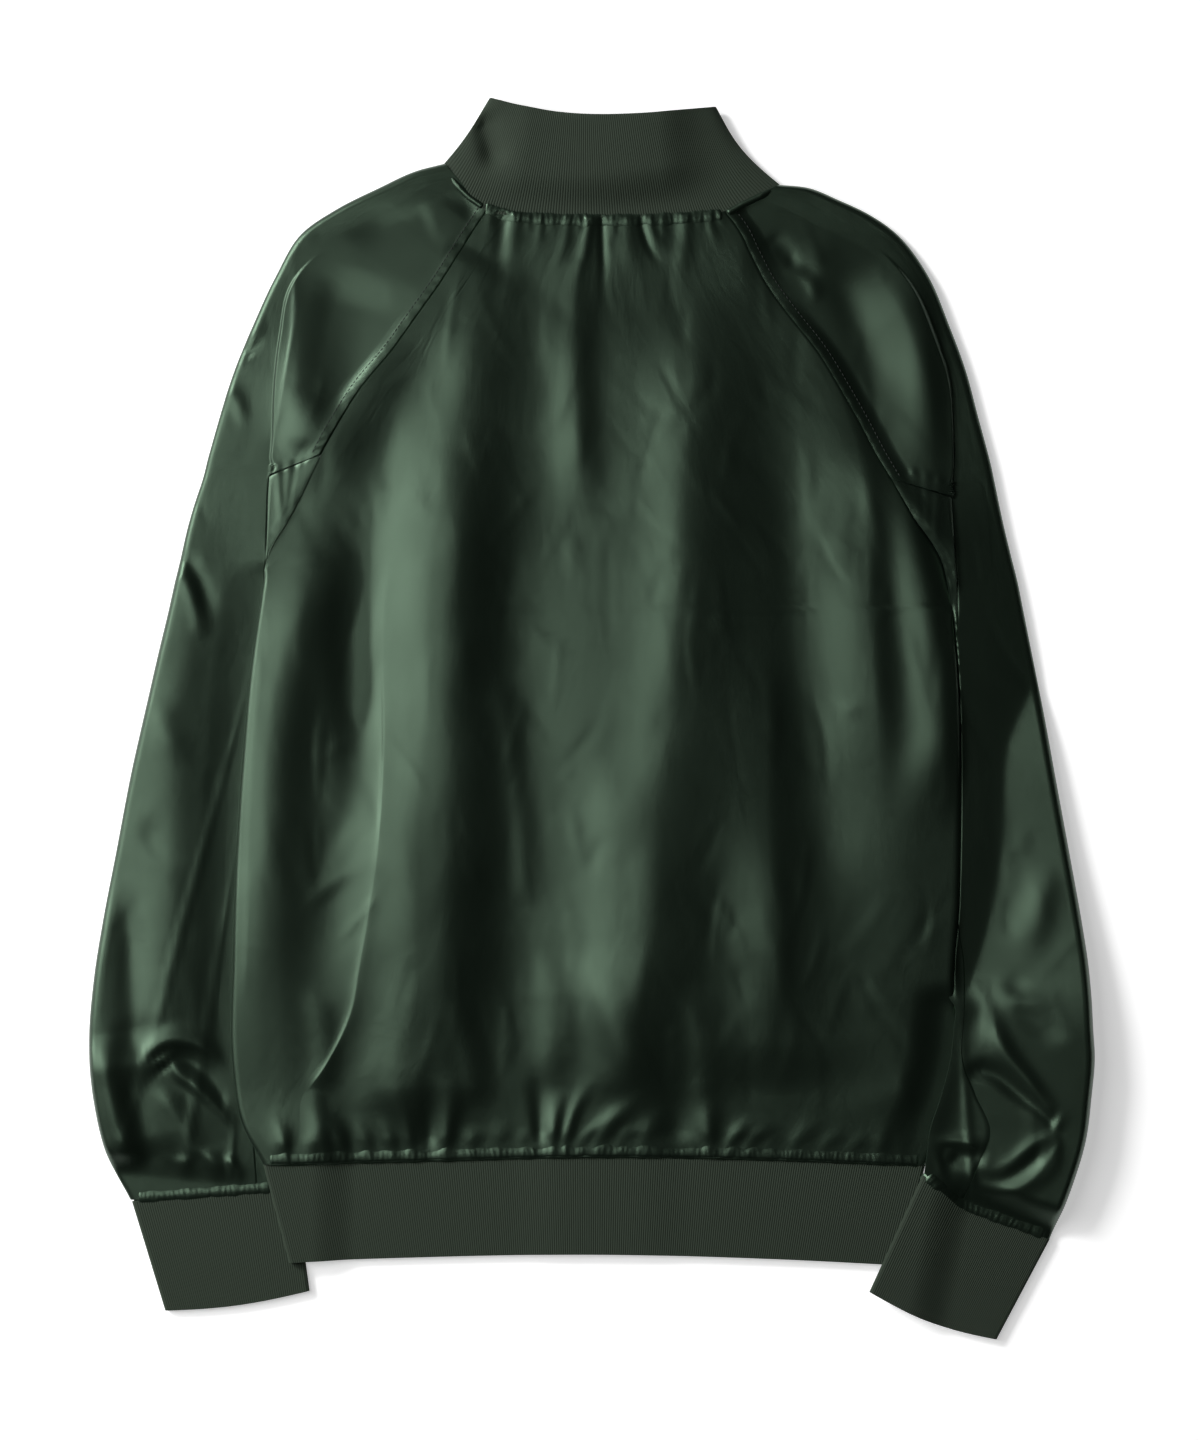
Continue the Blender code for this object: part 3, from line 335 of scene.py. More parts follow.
def walls(sheet, wall, closed):
    """Points and faces of a closed wall on a sheet, whose rows run all round if closed.

    The hidden inner face has half as many rows and columns as the outer one.
    """
    half = sheet[::2, ::2]
    crosswise = np.gradient(half, axis=1)
    if closed:
        crosswise = np.roll(half, -1, 1) - np.roll(half, 1, 1)
    lengthwise = np.gradient(half, axis=0)
    lengthwise[..., 2] = 0
    inward = np.cross(crosswise, lengthwise)
    inward /= np.maximum(np.linalg.norm(inward, axis=2, keepdims=True), 1e-9)
    inner = half + wall * inward
    rows, across = sheet.shape[:2]
    around = np.pad(sheet[..., 2], 1, mode="wrap" if closed else "edge")
    lowest = np.min([around[i:i + rows, j:j + across] for i in (0, 1, 2) for j in (0, 1, 2)], 0)
    under = np.minimum(inner[..., 2], lowest[::2, ::2] - 0.6 * wall)
    inner[..., 2] = np.where(inward[..., 2] < -0.8, under, inner[..., 2])
    outer = np.arange(rows * across).reshape(rows, across)
    skin = rows * across + np.arange(half.shape[0] * half.shape[1]).reshape(half.shape[:2])
    if closed:
        outer = np.concatenate([outer, outer[:, :1]], 1)
        skin = np.concatenate([skin, skin[:, :1]], 1)
    quads = np.stack([outer[:-1, :-1], outer[1:, :-1], outer[1:, 1:], outer[:-1, 1:]], 2)
    faces = quads.reshape(-1, 4).tolist()
    quads = np.stack([skin[:-1, :-1], skin[:-1, 1:], skin[1:, 1:], skin[1:, :-1]], 2)
    faces += quads.reshape(-1, 4).tolist()
    rims = [(outer[0], skin[0]), (outer[-1, ::-1], skin[-1, ::-1])]
    if not closed:
        rims += [(outer[:, -1], skin[:, -1]), (outer[::-1, 0], skin[::-1, 0])]
    for edge, back in rims:
        for k in range(len(back) - 1):
            faces.append([int(edge[2 * k]), int(edge[2 * k + 1]), int(edge[2 * k + 2]),
                          int(back[k + 1]), int(back[k])])
    return np.concatenate([sheet.reshape(-1, 3), inner.reshape(-1, 3)]), faces


def placed(name, data):
    """An object of the scene."""
    thing = bpy.data.objects.new(name, data)
    bpy.context.scene.collection.objects.link(thing)
    return thing


def cloth(name, sheet, wall, look, node, closed=False):
    """A piece of cloth on a sheet of points, which stands for a solid of the frame."""
    points, faces = walls(sheet, wall, closed)
    mesh = bpy.data.meshes.new(name)
    mesh.from_pydata((points * MM).tolist(), [], faces)
    u, v = [np.concatenate([[0], np.cumsum(np.median(np.linalg.norm(
        np.diff(sheet, axis=1 - other), axis=2), axis=other))]) for other in (0, 1)]
    flat_places = np.stack(np.meshgrid(u, v), 2)
    places = np.concatenate([flat_places.reshape(-1, 2), flat_places[::2, ::2].reshape(-1, 2)]) * MM
    layer = mesh.uv_layers.new(name="UVMap")
    corner = np.empty(len(mesh.loops), np.int32)
    mesh.loops.foreach_get("vertex_index", corner)
    layer.data.foreach_set("uv", places[corner].astype(np.float32).ravel())
    mesh.shade_smooth()
    mesh.set_sharp_from_angle(angle=0.9)
    mesh.materials.append(look)
    piece = placed(name, mesh)
    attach(piece, "jacket")
    if node:
        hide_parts(node)


def feed(node, **feeds):
    """Sets a node's inputs, or links them. Each is given by its name, or as i and its number."""
    for key, value in feeds.items():
        numbered = key[0] == "i" and key[1:].isdigit()
        socket = node.inputs[int(key[1:]) if numbered else key.replace("_", " ")]
        if isinstance(value, bpy.types.NodeSocket):
            node.id_data.links.new(value, socket)
        else:
            socket.default_value = value


def node_maker(tree):
    """A function that adds a node, sets its values and links what feeds it."""
    def add(kind, settings=(), **feeds):
        node = tree.nodes.new(kind)
        for key, value in dict(settings).items():
            setattr(node, key, value)
        feed(node, **feeds)
        return node
    return add


def new_group(name, kind, inputs, outputs):
    """A node group with named sockets, its maker of nodes, what it is given and its output node."""
    group = bpy.data.node_groups.new(name, kind)
    for label, kind_of_value, default in inputs:
        socket = group.interface.new_socket(label, in_out="INPUT", socket_type="NodeSocket" + kind_of_value)
        if default is not None:
            socket.default_value = default
    for label, kind_of_value in outputs:
        group.interface.new_socket(label, in_out="OUTPUT", socket_type="NodeSocket" + kind_of_value)
    given = group.nodes.new("NodeGroupInput").outputs
    return group, node_maker(group), given, group.nodes.new("NodeGroupOutput")


def material(name, **values):
    """A material, its maker of nodes and its shader, with the values set on that."""
    made = bpy.data.materials.new(name)
    made.use_nodes = True
    shader = made.node_tree.nodes["Principled BSDF"]
    feed(shader, **values)
    return made, node_maker(made.node_tree), shader


def weave_group():
    """Satin's long floats lying over each other, and the cloth's faint crinkle."""
    group, add, given, put = new_group(
        "satin_weave", "ShaderNodeTree",
        [("Place", "Vector", None), ("Threads", "Float", 2600.0), ("Crinkle", "Float", 46.0)],
        [("Thread Height", "Float"), ("Crinkle Height", "Float"), ("Tone", "Float")])
    turned = add("ShaderNodeMapping", Vector=given["Place"], Rotation=(0, 0, 0.46))
    floats = add("ShaderNodeTexWave", [("wave_type", "BANDS"), ("bands_direction", "X")],
                 Vector=turned.outputs[0], Scale=given["Threads"], Distortion=1.2, Detail=1.0,
                 Detail_Scale=2.0)
    stretched = add("ShaderNodeMapping", Vector=given["Place"], Scale=(1.0, 0.6, 1.0))
    soft = add("ShaderNodeTexNoise", Vector=stretched.outputs[0], Scale=given["Crinkle"],
               Detail=4.0, Roughness=0.5, Distortion=0.4)
    tone = add("ShaderNodeTexNoise", Vector=given["Place"], Scale=14.0, Detail=3.0, Roughness=0.55)
    feed(put, Thread_Height=floats.outputs["Fac"], Crinkle_Height=soft.outputs["Fac"],
         Tone=tone.outputs["Fac"])
    return group


def satin_material():
    made, add, shader = material("satin_cloth", Specular_IOR_Level=0.85, Specular_Tint=(0.66, 1.0, 0.70, 1),
                                 Sheen_Weight=0.06, Sheen_Roughness=0.4, Sheen_Tint=(0.55, 1.0, 0.7, 1))
    place = add("ShaderNodeUVMap", [("uv_map", "UVMap")])
    weave = add("ShaderNodeGroup", [("node_tree", weave_group())], Place=place.outputs[0])
    tint = add("ShaderNodeMixRGB", i0=weave.outputs["Tone"], i1=(0.0018, 0.0032, 0.0021, 1),
               i2=(0.0028, 0.0048, 0.0032, 1))
    gloss = add("ShaderNodeMapRange", Value=weave.outputs["Tone"], To_Min=0.36, To_Max=0.40)
    crinkle = add("ShaderNodeBump", Height=weave.outputs["Crinkle Height"], Strength=0.3,
                  Distance=0.001)
    threads = add("ShaderNodeBump", Height=weave.outputs["Thread Height"], Strength=0.12,
                  Distance=0.00008, Normal=crinkle.outputs[0])
    feed(shader, Base_Color=tint.outputs[0], Roughness=gloss.outputs[0], Normal=threads.outputs[0])
    return made


satin = satin_material()
cloth("back_panel", back_sheet(), SATIN, satin, "back")

# --- The fronts ------------------------------------------------------------------------------
# Two satin panels under the back, lying on the surface, each from its side edge to the zip.
# Their gathers at the hem and their few flat folds are like those of the back.
ZIP_HALF = 3.2
FRONT_NECK_CURVE, FRONT_HEM_CURVE = 240, -270    # where its rows take up the neck's and hem's curve
FRONT_NECK = ((-69, 334), (-50, 303), (-28, 284), (2.8, 277), (9.2, 277), (36, 283), (62, 296), (88, 334))
FRONT_FOLDS = (
    (18, 30, 1.3, 110, 130, (-112, 210), (-132, 40), (-126, -160)),
    (12, 20, 0.8, 90, 90, (-70, 250), (-58, 120), (-62, 0)),
    (22, 16, 1.1, 90, 60, (-56, 0), (-72, -140), (-66, -250)),
    (16, 28, 1.2, 110, 120, (92, 230), (110, 60), (120, -110)),
    (12, 15, 0.8, 80, 80, (62, 120), (52, -20), (58, -150)),
    (14, 24, 1.2, 90, 70, (146, 20), (162, -120), (152, -250)),
    (5, 8, 0.6, 30, 40, (-168, 60), (-150, 10), (-146, -40)),
    (6, 5, 0.6, 24, 30, (176, -70), (160, -110), (156, -150)),
    (5, 7, 0.5, 20, 30, (-98, -150), (-84, -196), (-90, -236)))
FRONT_GATHERS = (
    (-196, 24, 6, 4.0, 1.0), (-170, 40, 10, 5.0, 1.4), (-150, 20, -2, 3.6, 1.0),
    (-128, 46, 4, 5.0, 1.5), (-104, 22, 3, 4.0, 1.1), (-80, 36, -6, 5.0, 1.3),
    (-54, 22, 2, 4.0, 1.0), (-30, 30, 3, 4.0, 1.1), (34, 28, -3, 4.0, 1.1), (58, 44, 6, 5.0, 1.4),
    (82, 22, 2, 4.0, 1.0), (108, 40, 8, 5.0, 1.4), (132, 20, -2, 3.6, 1.0), (158, 34, 6, 5.0, 1.3),
    (186, 26, 5, 4.0, 1.0))


def front_sheet(side):
    """A front's outer face, which lies downwards, from the shoulder to the hem seam."""
    way = 1 if side == "left" else -1
    centre = ZIP_X - way * ZIP_HALF
    y = np.linspace(NECK_ROW, HEM_ROW, 211)
    turned = (SIDE_TURN + SEAM) * ease(y, UNDERARM[side] + 1, UNDERARM[side] - 20)
    edge = side_x[side](y) + way * (HALF_SEAM + turned)
    x = np.linspace(edge, np.full(len(y), centre), 81, axis=1)
    y, edge = y[:, None] + 0 * x, edge[:, None]
    top = np.interp(x, *zip(*FRONT_NECK)) - HALF_SEAM
    place = toward(y, FRONT_NECK_CURVE, NECK_ROW, top)
    place = toward(place, FRONT_HEM_CURVE, HEM_ROW, hem_y(x) + HALF_SEAM)
    lift = relief(x, place, FRONT_FOLDS) + relief(x, place, gathers(FRONT_GATHERS, hem_y, 1), fan=0.8)
    lift = lift * ease(abs(x - centre), 0, 24) * ease(abs(x - edge), 0, 16) * ease(place - hem_y(x), 0, 10)
    return np.stack([x, place, body_floor(x, y) + lift], 2)[:, ::-way]


for side in ("left", "right"):
    cloth("front_panel_" + side, front_sheet(side), SATIN, satin, "front_" + side)

# --- The sleeves -----------------------------------------------------------------------------
# Each raglan sleeve is two pieces of satin: a top that runs over the arm, round its outer edge
# and back underneath, and a narrow under-sleeve from the underarm to the cuff. The left one is
# tucked under the body, and the right one comes out over it near the cuff.
SLEEVE_LEVEL = 6.8     # upper face along the middle
TUCKED = 4.8           # upper face where it is pressed under the body
OVER = 7.2             # lower face where the right one lies over the body
SLEEVE_RADIUS = 5.0    # half-width of the turned outer edge
SHOULDER_FOLD = {"left": 2.6, "right": 4.0}   # height of the step at the shoulder's fold
FOLD_ROOM = (18, 14)   # least distances of that fold from the seam and from the outer edge
SLEEVE_COLUMNS = (16, 40, 15, 26)   # beside the seam, up to the fold, across it and out to the edge
SHOULDER_RISE_Y = (318, 350)
RAGLAN_EASE = 15
TUCK_EASE = {"left": (26, -4), "right": (1, -2)}
CUFF_EASE = {"left": (18, 1), "right": (24, 1)}   # above the cuff's seam: down to the rib
SLOPES_Y = (170, 120)                             # where the right sleeve's long slopes begin
INNER_EDGE = (20, 0)                              # from its inner edge, which lies on the body
SLEEVE_CLIMB_Y, SLEEVE_CLIMB = (-176, -196), (38, 8)
CUFF_LINE = {"left": (-220, -311, -0.1), "right": (244, -320, -0.36)}   # x, y, slope
SHOULDERS = {  # outer x, outer y, raglan y, fold's distance from the outer edge
    "left": ((-97, 366, 334, 18), (-116, 361, 322, 18), (-140, 350, 306, 20), (-168, 336, 287, 22),
             (-192, 319, 266, 18), (-208, 292, 243, 12), (-222, 262, 217, 20), (-236, 228, 194, 30),
             (-252, 175, 174, 41)),
    "right": ((124, 352, 334, 14), (143, 350, 322, 18), (163, 342, 306, 20), (184, 332, 287, 20),
              (203, 318, 266, 16), (222, 292, 243, 13), (236, 259, 217, 12), (247, 229, 194, 13),
              (255, 199, 174, 18), (262, 173, 158, 24))}
ARMS = {  # outer x, outer y, seam x, seam y, inner x, inner y, fold
    "left": ((-257, 156, -212, 161, -184.5, 160.5, 45), (-262, 141, -213, 147, -191, 147, 40),
             (-266, 127, -213.5, 131, -199, 132, 42), (-271, 105, -214.5, 107, -212.6, 107, 44),
             (-275, 88, -215.5, 88, -211, 88, 42), (-279, 70, -217, 72, -208, 72, 42),
             (-285, 45, -218, 48, -203, 47, 46), (-293, 10, -217, 15, -184, 17, 50),
             (-303, -34, -217, -30, -184, -28, 54), (-313, -86, -219, -84, -188, -83, 58),
             (-322, -133, -221, -132, -192, -132, 60), (-328, -172, -223, -172, -194, -172, 62),
             (-331, -212, -225, -212, -196, -212, 62), (-328, -251, -225, -250, -198, -250, 60),
             (-319, -288, -222, -283, -196, -282, 56), (-304, -317, -220, -311, -196, -309, 50)),
    "right": ((266, 155, 237, 147, 204.5, 145, 29), (271, 131, 238, 128, 212, 132, 26),
              (277, 106, 239.5, 105, 229, 107, 30), (281, 90, 240.5, 90, 233.5, 92, 32),
              (284, 75, 241, 76, 236, 77, 34), (287, 60, 241, 60, 236, 60, 34),
              (290, 45, 240, 46, 236, 46, 36), (297, 10, 240, 12, 234, 12, 42),
              (306, -40, 240, -38, 232, -38, 48), (316, -95, 240, -94, 232, -94, 56),
              (323, -135, 241.5, -134, 235, -134, 62), (327, -162, 245.5, -160, 241.4, -160, 66),
              (329, -185, 246, -182, 240.6, -182, 66), (330, -205, 244.6, -202, 238.6, -202, 66),
              (331, -222, 243.6, -221, 236.6, -221, 68), (329, -247, 252, -246, 230.6, -246, 66),
              (325, -278, 262, -271, 223, -269, 52), (316, -308, 254, -294, 221, -284, 46),
              (302, -343, 243, -322, 219, -300, 42))}
SLEEVE_FOLDS = {
    "left": (
        (14, 24, 2.6, 50, 20, (-188, 275), (-192, 235), (-190, 205), (-186, 168)),
        (16, 38, -2.4, 30, 30, (-158, 300), (-169, 262), (-178, 225), (-184, 190)),
        (48, 34, 4.8, 14, 40, (-72, 336), (-100, 294), (-132, 246), (-168, 198), (-188, 164)),
        (8, 14, -1.4, 10, 30, (-104, 336), (-134, 330), (-164, 318)),
        (34, 24, 4.6, 80, 56, (-262, 150), (-271, 78), (-277, 0), (-279.5, -50), (-279.5, -149),
         (-284, -199), (-288, -246)),
        (10, 16, 3.6, 60, 30, (-322, -100), (-329, -170), (-330, -215), (-322, -270), (-306, -312)),
        (12, 30, 5.6, 26, 26, (-321, -206), (-312, -255), (-300, -302)),
        (9, 8, -2.6, 50, 20, (-306, -104), (-302, -160), (-299, -232)),
        (5, 8, 1.9, 6, 14, (-296, -224), (-284, -213), (-262, -212), (-238, -228)),
        (5, 7, -2.2, 10, 8, (-292, -238), (-278, -226), (-256, -232), (-238, -256)),
        (4, 7, 1.8, 8, 14, (-293, -232), (-286, -227), (-270, -236), (-232, -270)),
        (2.5, 3, 0.8, 0, 10, (-206, 159), (-207, 172)), (2.5, 3, 0.7, 0, 9, (-199, 162), (-198, 174)),
        (2.5, 2, 0.8, 0, 11, (-192, 166), (-190, 178)), (2.2, 2, 0.6, 0, 8, (-186, 169), (-183, 180)),
        (6, 9, 2.2, 20, 10, (-288, -238), (-272, -262), (-258, -292)),
        (5, 6, 2.2, 10, 0, (-256, -280), (-248, -296), (-246, -310)),
        (4, 5, 1.8, 8, 0, (-270, -286), (-266, -300), (-264, -312)),
        (3.5, 4, 1.5, 6, 0, (-240, -286), (-233, -300), (-232, -310)),
        (7, 9, -2.4, 24, 14, (-306, -225), (-298, -262), (-288, -300)),
        (8, 10, 1.6, 30, 16, (-318, -190), (-318, -240), (-304, -290)),
        (5, 6, 1.2, 8, 16, (-240, 256), (-226, 250), (-212, 262)),
        (4, 6, -1.2, 8, 14, (-244, 244), (-230, 240), (-214, 250)),
        (5, 6, 1.2, 10, 18, (-252, 226), (-236, 212), (-226, 190)),
        (5, 7, -1.3, 12, 20, (-270, 112), (-258, 90), (-250, 62)),
        (5, 6, 1.0, 10, 16, (-272, 100), (-262, 78), (-256, 50)),
        (6, 8, -1.0, 20, 30, (-296, -60), (-286, -84), (-270, -100)),
        (8, 10, 1.2, 20, 24, (-286, 20), (-280, -10), (-268, -34))),
    "right": (
        (14, 10, 2.8, 40, 70, (194, 312), (216, 262), (222, 215), (224, 165)),
        (12, 16, -1.8, 30, 40, (158, 300), (180, 250), (194, 200)),
        (10, 12, 1.2, 20, 30, (140, 318), (152, 300), (166, 284)),
        (3, 2.5, 0.8, 0, 9, (212, 156), (211, 168)), (3, 2.5, 0.7, 0, 9, (220, 153), (220, 166)),
        (3, 2.5, 0.8, 0, 9, (228, 151), (229, 163)),
        (8, 7, 2.0, 20, 30, (262, -178), (284, -186), (308, -190)),
        (12, 10, 1.6, 30, 40, (300, -90), (294, -130), (284, -164)),
        (9, 6, 2.4, 40, 20, (258, -180), (270, -215), (289, -241), (309, -271)),
        (5, 7, -2.6, 12, 6, (243, -230), (263, -233), (280, -245), (296, -258), (306, -267)),
        (5, 6, 0.9, 12, 16, (309, -273), (292, -278), (276, -292), (262, -302)),
        (8, 6, 0.9, 12, 18, (310, -275), (302, -292), (284, -306), (262, -312), (244, -306)),
        (6, 6, -1.4, 8, 10, (298, -282), (282, -296), (262, -304), (246, -298)),
        (4, 5, 2.0, 0, 14, (220, -277), (240, -278), (262, -281)),
        (6, 6, -1.8, 6, 10, (228, -286), (246, -288), (262, -288)),
        (4, 4, 2.0, 0, 8, (220, -276), (226, -290), (232, -304), (242, -314)),
        (8, 8, -1.2, 14, 18, (272, -168), (292, -200), (312, -214)),
        (6, 7, -1.2, 8, 16, (114, 318), (126, 310), (134, 296)),
        (4, 5, -0.9, 8, 10, (128, 308), (136, 296), (150, 290)),
        (5, 6, 0.9, 8, 12, (130, 300), (144, 288), (150, 272)))}
SLEEVE_CREASES = {
    "left": ((1.0, 3.0, 0.6, 30, 40, (-196, 300), (-196, 262), (-202, 222), (-210, 176)),
             (2.0, 4.0, 1.0, 6, 14, (-292, -223), (-281, -215), (-258, -216), (-236, -228)),
             (1.6, 3.0, 0.8, 6, 14, (-293, -231), (-287, -227), (-270, -236), (-232, -270))),
    "right": ((2.6, 1.6, 0.6, 30, 6, (263, -192), (270, -215), (289, -241), (309, -271)),
              (1.6, 2.0, 0.35, 6, 14, (309, -273), (296, -275), (288, -281), (273, -290)),
              (2.0, 1.8, 0.4, 6, 14, (309, -276), (299, -291), (283, -307), (263, -313)))}
# The right sleeve's long slopes: it falls from the body's edge to a hollow and rises past it, and
# its wide end stands up towards its outer edge.
HOLLOW = ((150, 274), (100, 284), (60, 292), (30, 292), (-14, 275), (-86, 270), (-139, 260), (-172, 250),
          (-200, 240))                        # y, x
HOLLOW_LEVEL, HOLLOW_FALL, HOLLOW_RISE = 5.2, 0.125, 0.19
WIDE_END_Y, WIDE_END_LEVEL, WIDE_END_RISE = (-165, -215), 11.8, 0.115
sleeve_crinkles = {"left": crinkles(11, 90, (-325, -300), (-80, 350), -100, 0.3),
                   "right": crinkles(12, 90, (90, -330), (330, 350), -80, 0.3)}
body_end = smooth([row for row in SIDES["right"] if row[0] <= -185])


def right_slopes(x, y):
    """Level of the right sleeve's long slopes below the shoulder."""
    past = x - smooth(HOLLOW)(y)
    beside_body = HOLLOW_LEVEL + HOLLOW_FALL * np.maximum(-past, 0) + HOLLOW_RISE * (
        np.hypot(past, 4) + past) / 2
    return mix(beside_body, WIDE_END_LEVEL + WIDE_END_RISE * (x - 240), ease(y, *WIDE_END_Y))


def shoulder_fold(distance, strength):
    """The step where a shoulder's cloth folds over the sleeve, by the distance past it."""
    step = 0.7 * ease(distance, -0.8, 0.8) + 0.3 * ease(distance, 0, 16)
    return strength * step * ease(distance, 66, 16)


def sleeve_floor(side, x, y):
    """Lower face of a sleeve or cuff: the right one climbs over the body and the hem."""
    if side == "left":
        return 0.0 * x
    return OVER * ease(y, *SLEEVE_CLIMB_Y) * ease(x - body_end(y), *SLEEVE_CLIMB)


def sleeve_top(side, x, y, past_fold=0.0):
    """Upper face of a sleeve, away from its turned outer edge, on one side of its fold or past it."""
    left = side == "left"
    underarm = UNDERARM[side]
    outside = abs(x) - abs(side_x[side](y))
    edge = side_x[side](y)
    body = body_top(edge, np.maximum(y, underarm))
    height = SLEEVE_LEVEL + relief(x, y, SLEEVE_FOLDS[side]) + relief(x, y, sleeve_crinkles[side])
    if not left:
        height = height + (right_slopes(x, y) - SLEEVE_LEVEL) * ease(y, *SLOPES_Y)
    height = height + relief(x, y, SLEEVE_CREASES[side], crisp=True)
    height = mix(height, NECK_LEVEL - SATIN, ease(y, *SHOULDER_RISE_Y))
    joined = ease(outside, RAGLAN_EASE, 0) * ease(y, underarm - RAGLAN_EASE, underarm)
    height = mix(height, body, joined * (1 - past_fold))
    on_raglan = ease(y, underarm - 4, underarm + 12) * (1 - past_fold)
    pucker = 0.14 + 0.14 * np.sin(0.8 * y + 3 * np.sin(0.11 * y)) * ease(abs(outside - 3.4), 3.4, 1)
    height = height + on_raglan * pucker * ease(outside, 0, 2) * (1 - ease(outside, 6, 9))
    floor = sleeve_floor(side, x, y)
    tucked = ease(outside, *TUCK_EASE[side]) * ease(y, underarm, underarm - RAGLAN_EASE)
    if not left:
        tucked = tucked * ease(y, SLEEVE_OUT_Y[1], SLEEVE_OUT_Y[0] + 16)
    height = mix(height, TUCKED, tucked)
    if not left:
        near = ease(x - right_inner(y), *INNER_EDGE) * ease(y, *SLEEVE_OUT_Y)
        height = np.maximum(mix(height, floor + TUCKED + 0.6, near), floor + TUCKED - 0.6)
    seam_x, seam_y, slope = CUFF_LINE[side]
    seam = seam_y + slope * (x - seam_x)
    return mix(height, floor + RIB_STACK, ease(y - seam, *CUFF_EASE[side]))


def sleeve_lines(side):
    """Fine rows of a sleeve from the neck to the cuff, each with its outer, seam and inner point."""
    rows = [(x, y, float(side_x[side](at)), at, float(side_x[side](at)), at, fold)
            for x, y, at, fold in SHOULDERS[side]]
    corner = len(rows) - 1
    rows = np.array(rows + list(ARMS[side]), float)
    apart = np.linalg.norm(np.diff(rows[:, :4], axis=0), axis=1) / 2 ** 0.5
    place = np.concatenate([[0], np.cumsum(apart)])
    fine = np.linspace(0, place[-1], 361)
    columns = []
    for number in range(7):
        whole = smooth(list(zip(place, rows[:, number])))(fine)
        if 2 <= number <= 5:
            straight = np.interp(fine, place, rows[:, number])
            arm = smooth(list(zip(place[corner + 1:], rows[corner + 1:, number])))(fine)
            shoulder = smooth(list(zip(place[:corner + 1], rows[:corner + 1, number])))(fine)
            below = np.where(fine < place[corner + 1], straight, arm)
            whole = np.where(fine < place[corner], shoulder, below)
        columns.append(whole)
    on_raglan = fine <= place[corner]
    for across, down in ((2, 3), (4, 5)):
        columns[across] = np.where(on_raglan, side_x[side](columns[down]), columns[across])
    return np.array(columns).T, place, corner, fine


def sleeve_sheet(side):
    """The outer face of a sleeve's top piece, from the raglan or under-sleeve seam round."""
    lines, place, corner, fine = sleeve_lines(side)
    outer, seam, inner = lines[:, None, 0:2], lines[:, None, 2:4], lines[:, None, 4:6]
    fold = lines[:, None, 6]
    width = np.linalg.norm(outer - seam, axis=2)
    way = (outer - seam) / width[..., None]
    at_seam = fine[:, None] > place[corner + 1]
    fold = np.where(at_seam, width, np.minimum(fold, width))
    strength = SHOULDER_FOLD[side] * ease(lines[:, None, 1], 320, 280) * (1 - at_seam)
    split = np.clip(width - fold, FOLD_ROOM[0], width - FOLD_ROOM[1])
    stops = [HALF_SEAM + 0 * width, 10 + 0 * width, split - 5, split + 4, width - SLEEVE_RADIUS]
    out = np.concatenate([mix(first, last, np.linspace(0, 1, count)[:-1]) for first, last, count
                          in zip(stops, stops[1:], SLEEVE_COLUMNS)] + [stops[-1]], 1)
    spot = seam + out[..., None] * way
    up = sleeve_top(side, spot[..., 0], spot[..., 1], ease(width - fold - out, 1, -1))
    up = up + shoulder_fold(width - fold - out, strength)
    up[:, 0] -= SEAM_DIP * (side == "left")
    turn = np.linspace(90, -90, 13) * np.pi / 180
    low = sleeve_floor(side, outer[..., 0], outer[..., 1])
    middle, tall = (low + up[:, -1:]) / 2, (up[:, -1:] - low) / 2
    out = np.concatenate([out[:, :-1], width - SLEEVE_RADIUS + SLEEVE_RADIUS * np.cos(turn)], 1)
    up = np.concatenate([up[:, :-1], middle + tall * np.sin(turn)], 1)
    back = width - SLEEVE_RADIUS + (0.4 - width + SLEEVE_RADIUS) * np.linspace(0, 1, 10)[1:]
    plan = seam + np.concatenate([out, back], 1)[..., None] * way
    reach = np.linalg.norm(inner - seam, axis=2, keepdims=True)
    end = np.where(reach > 2, inner + (seam - inner) * HALF_SEAM / np.maximum(reach, 2),
                   seam + HALF_SEAM * way)
    tail = plan[:, -1:] + np.linspace(0, 1, 5)[1:, None] * (end - plan[:, -1:])
    plan = np.concatenate([plan, tail], 1)
    beneath = plan[:, up.shape[1]:]
    under = sleeve_floor(side, beneath[..., 0], beneath[..., 1])
    sheet = np.concatenate([plan, np.concatenate([up, under], 1)[..., None]], 2)
    return sheet[:, ::-1] if side == "left" else sheet


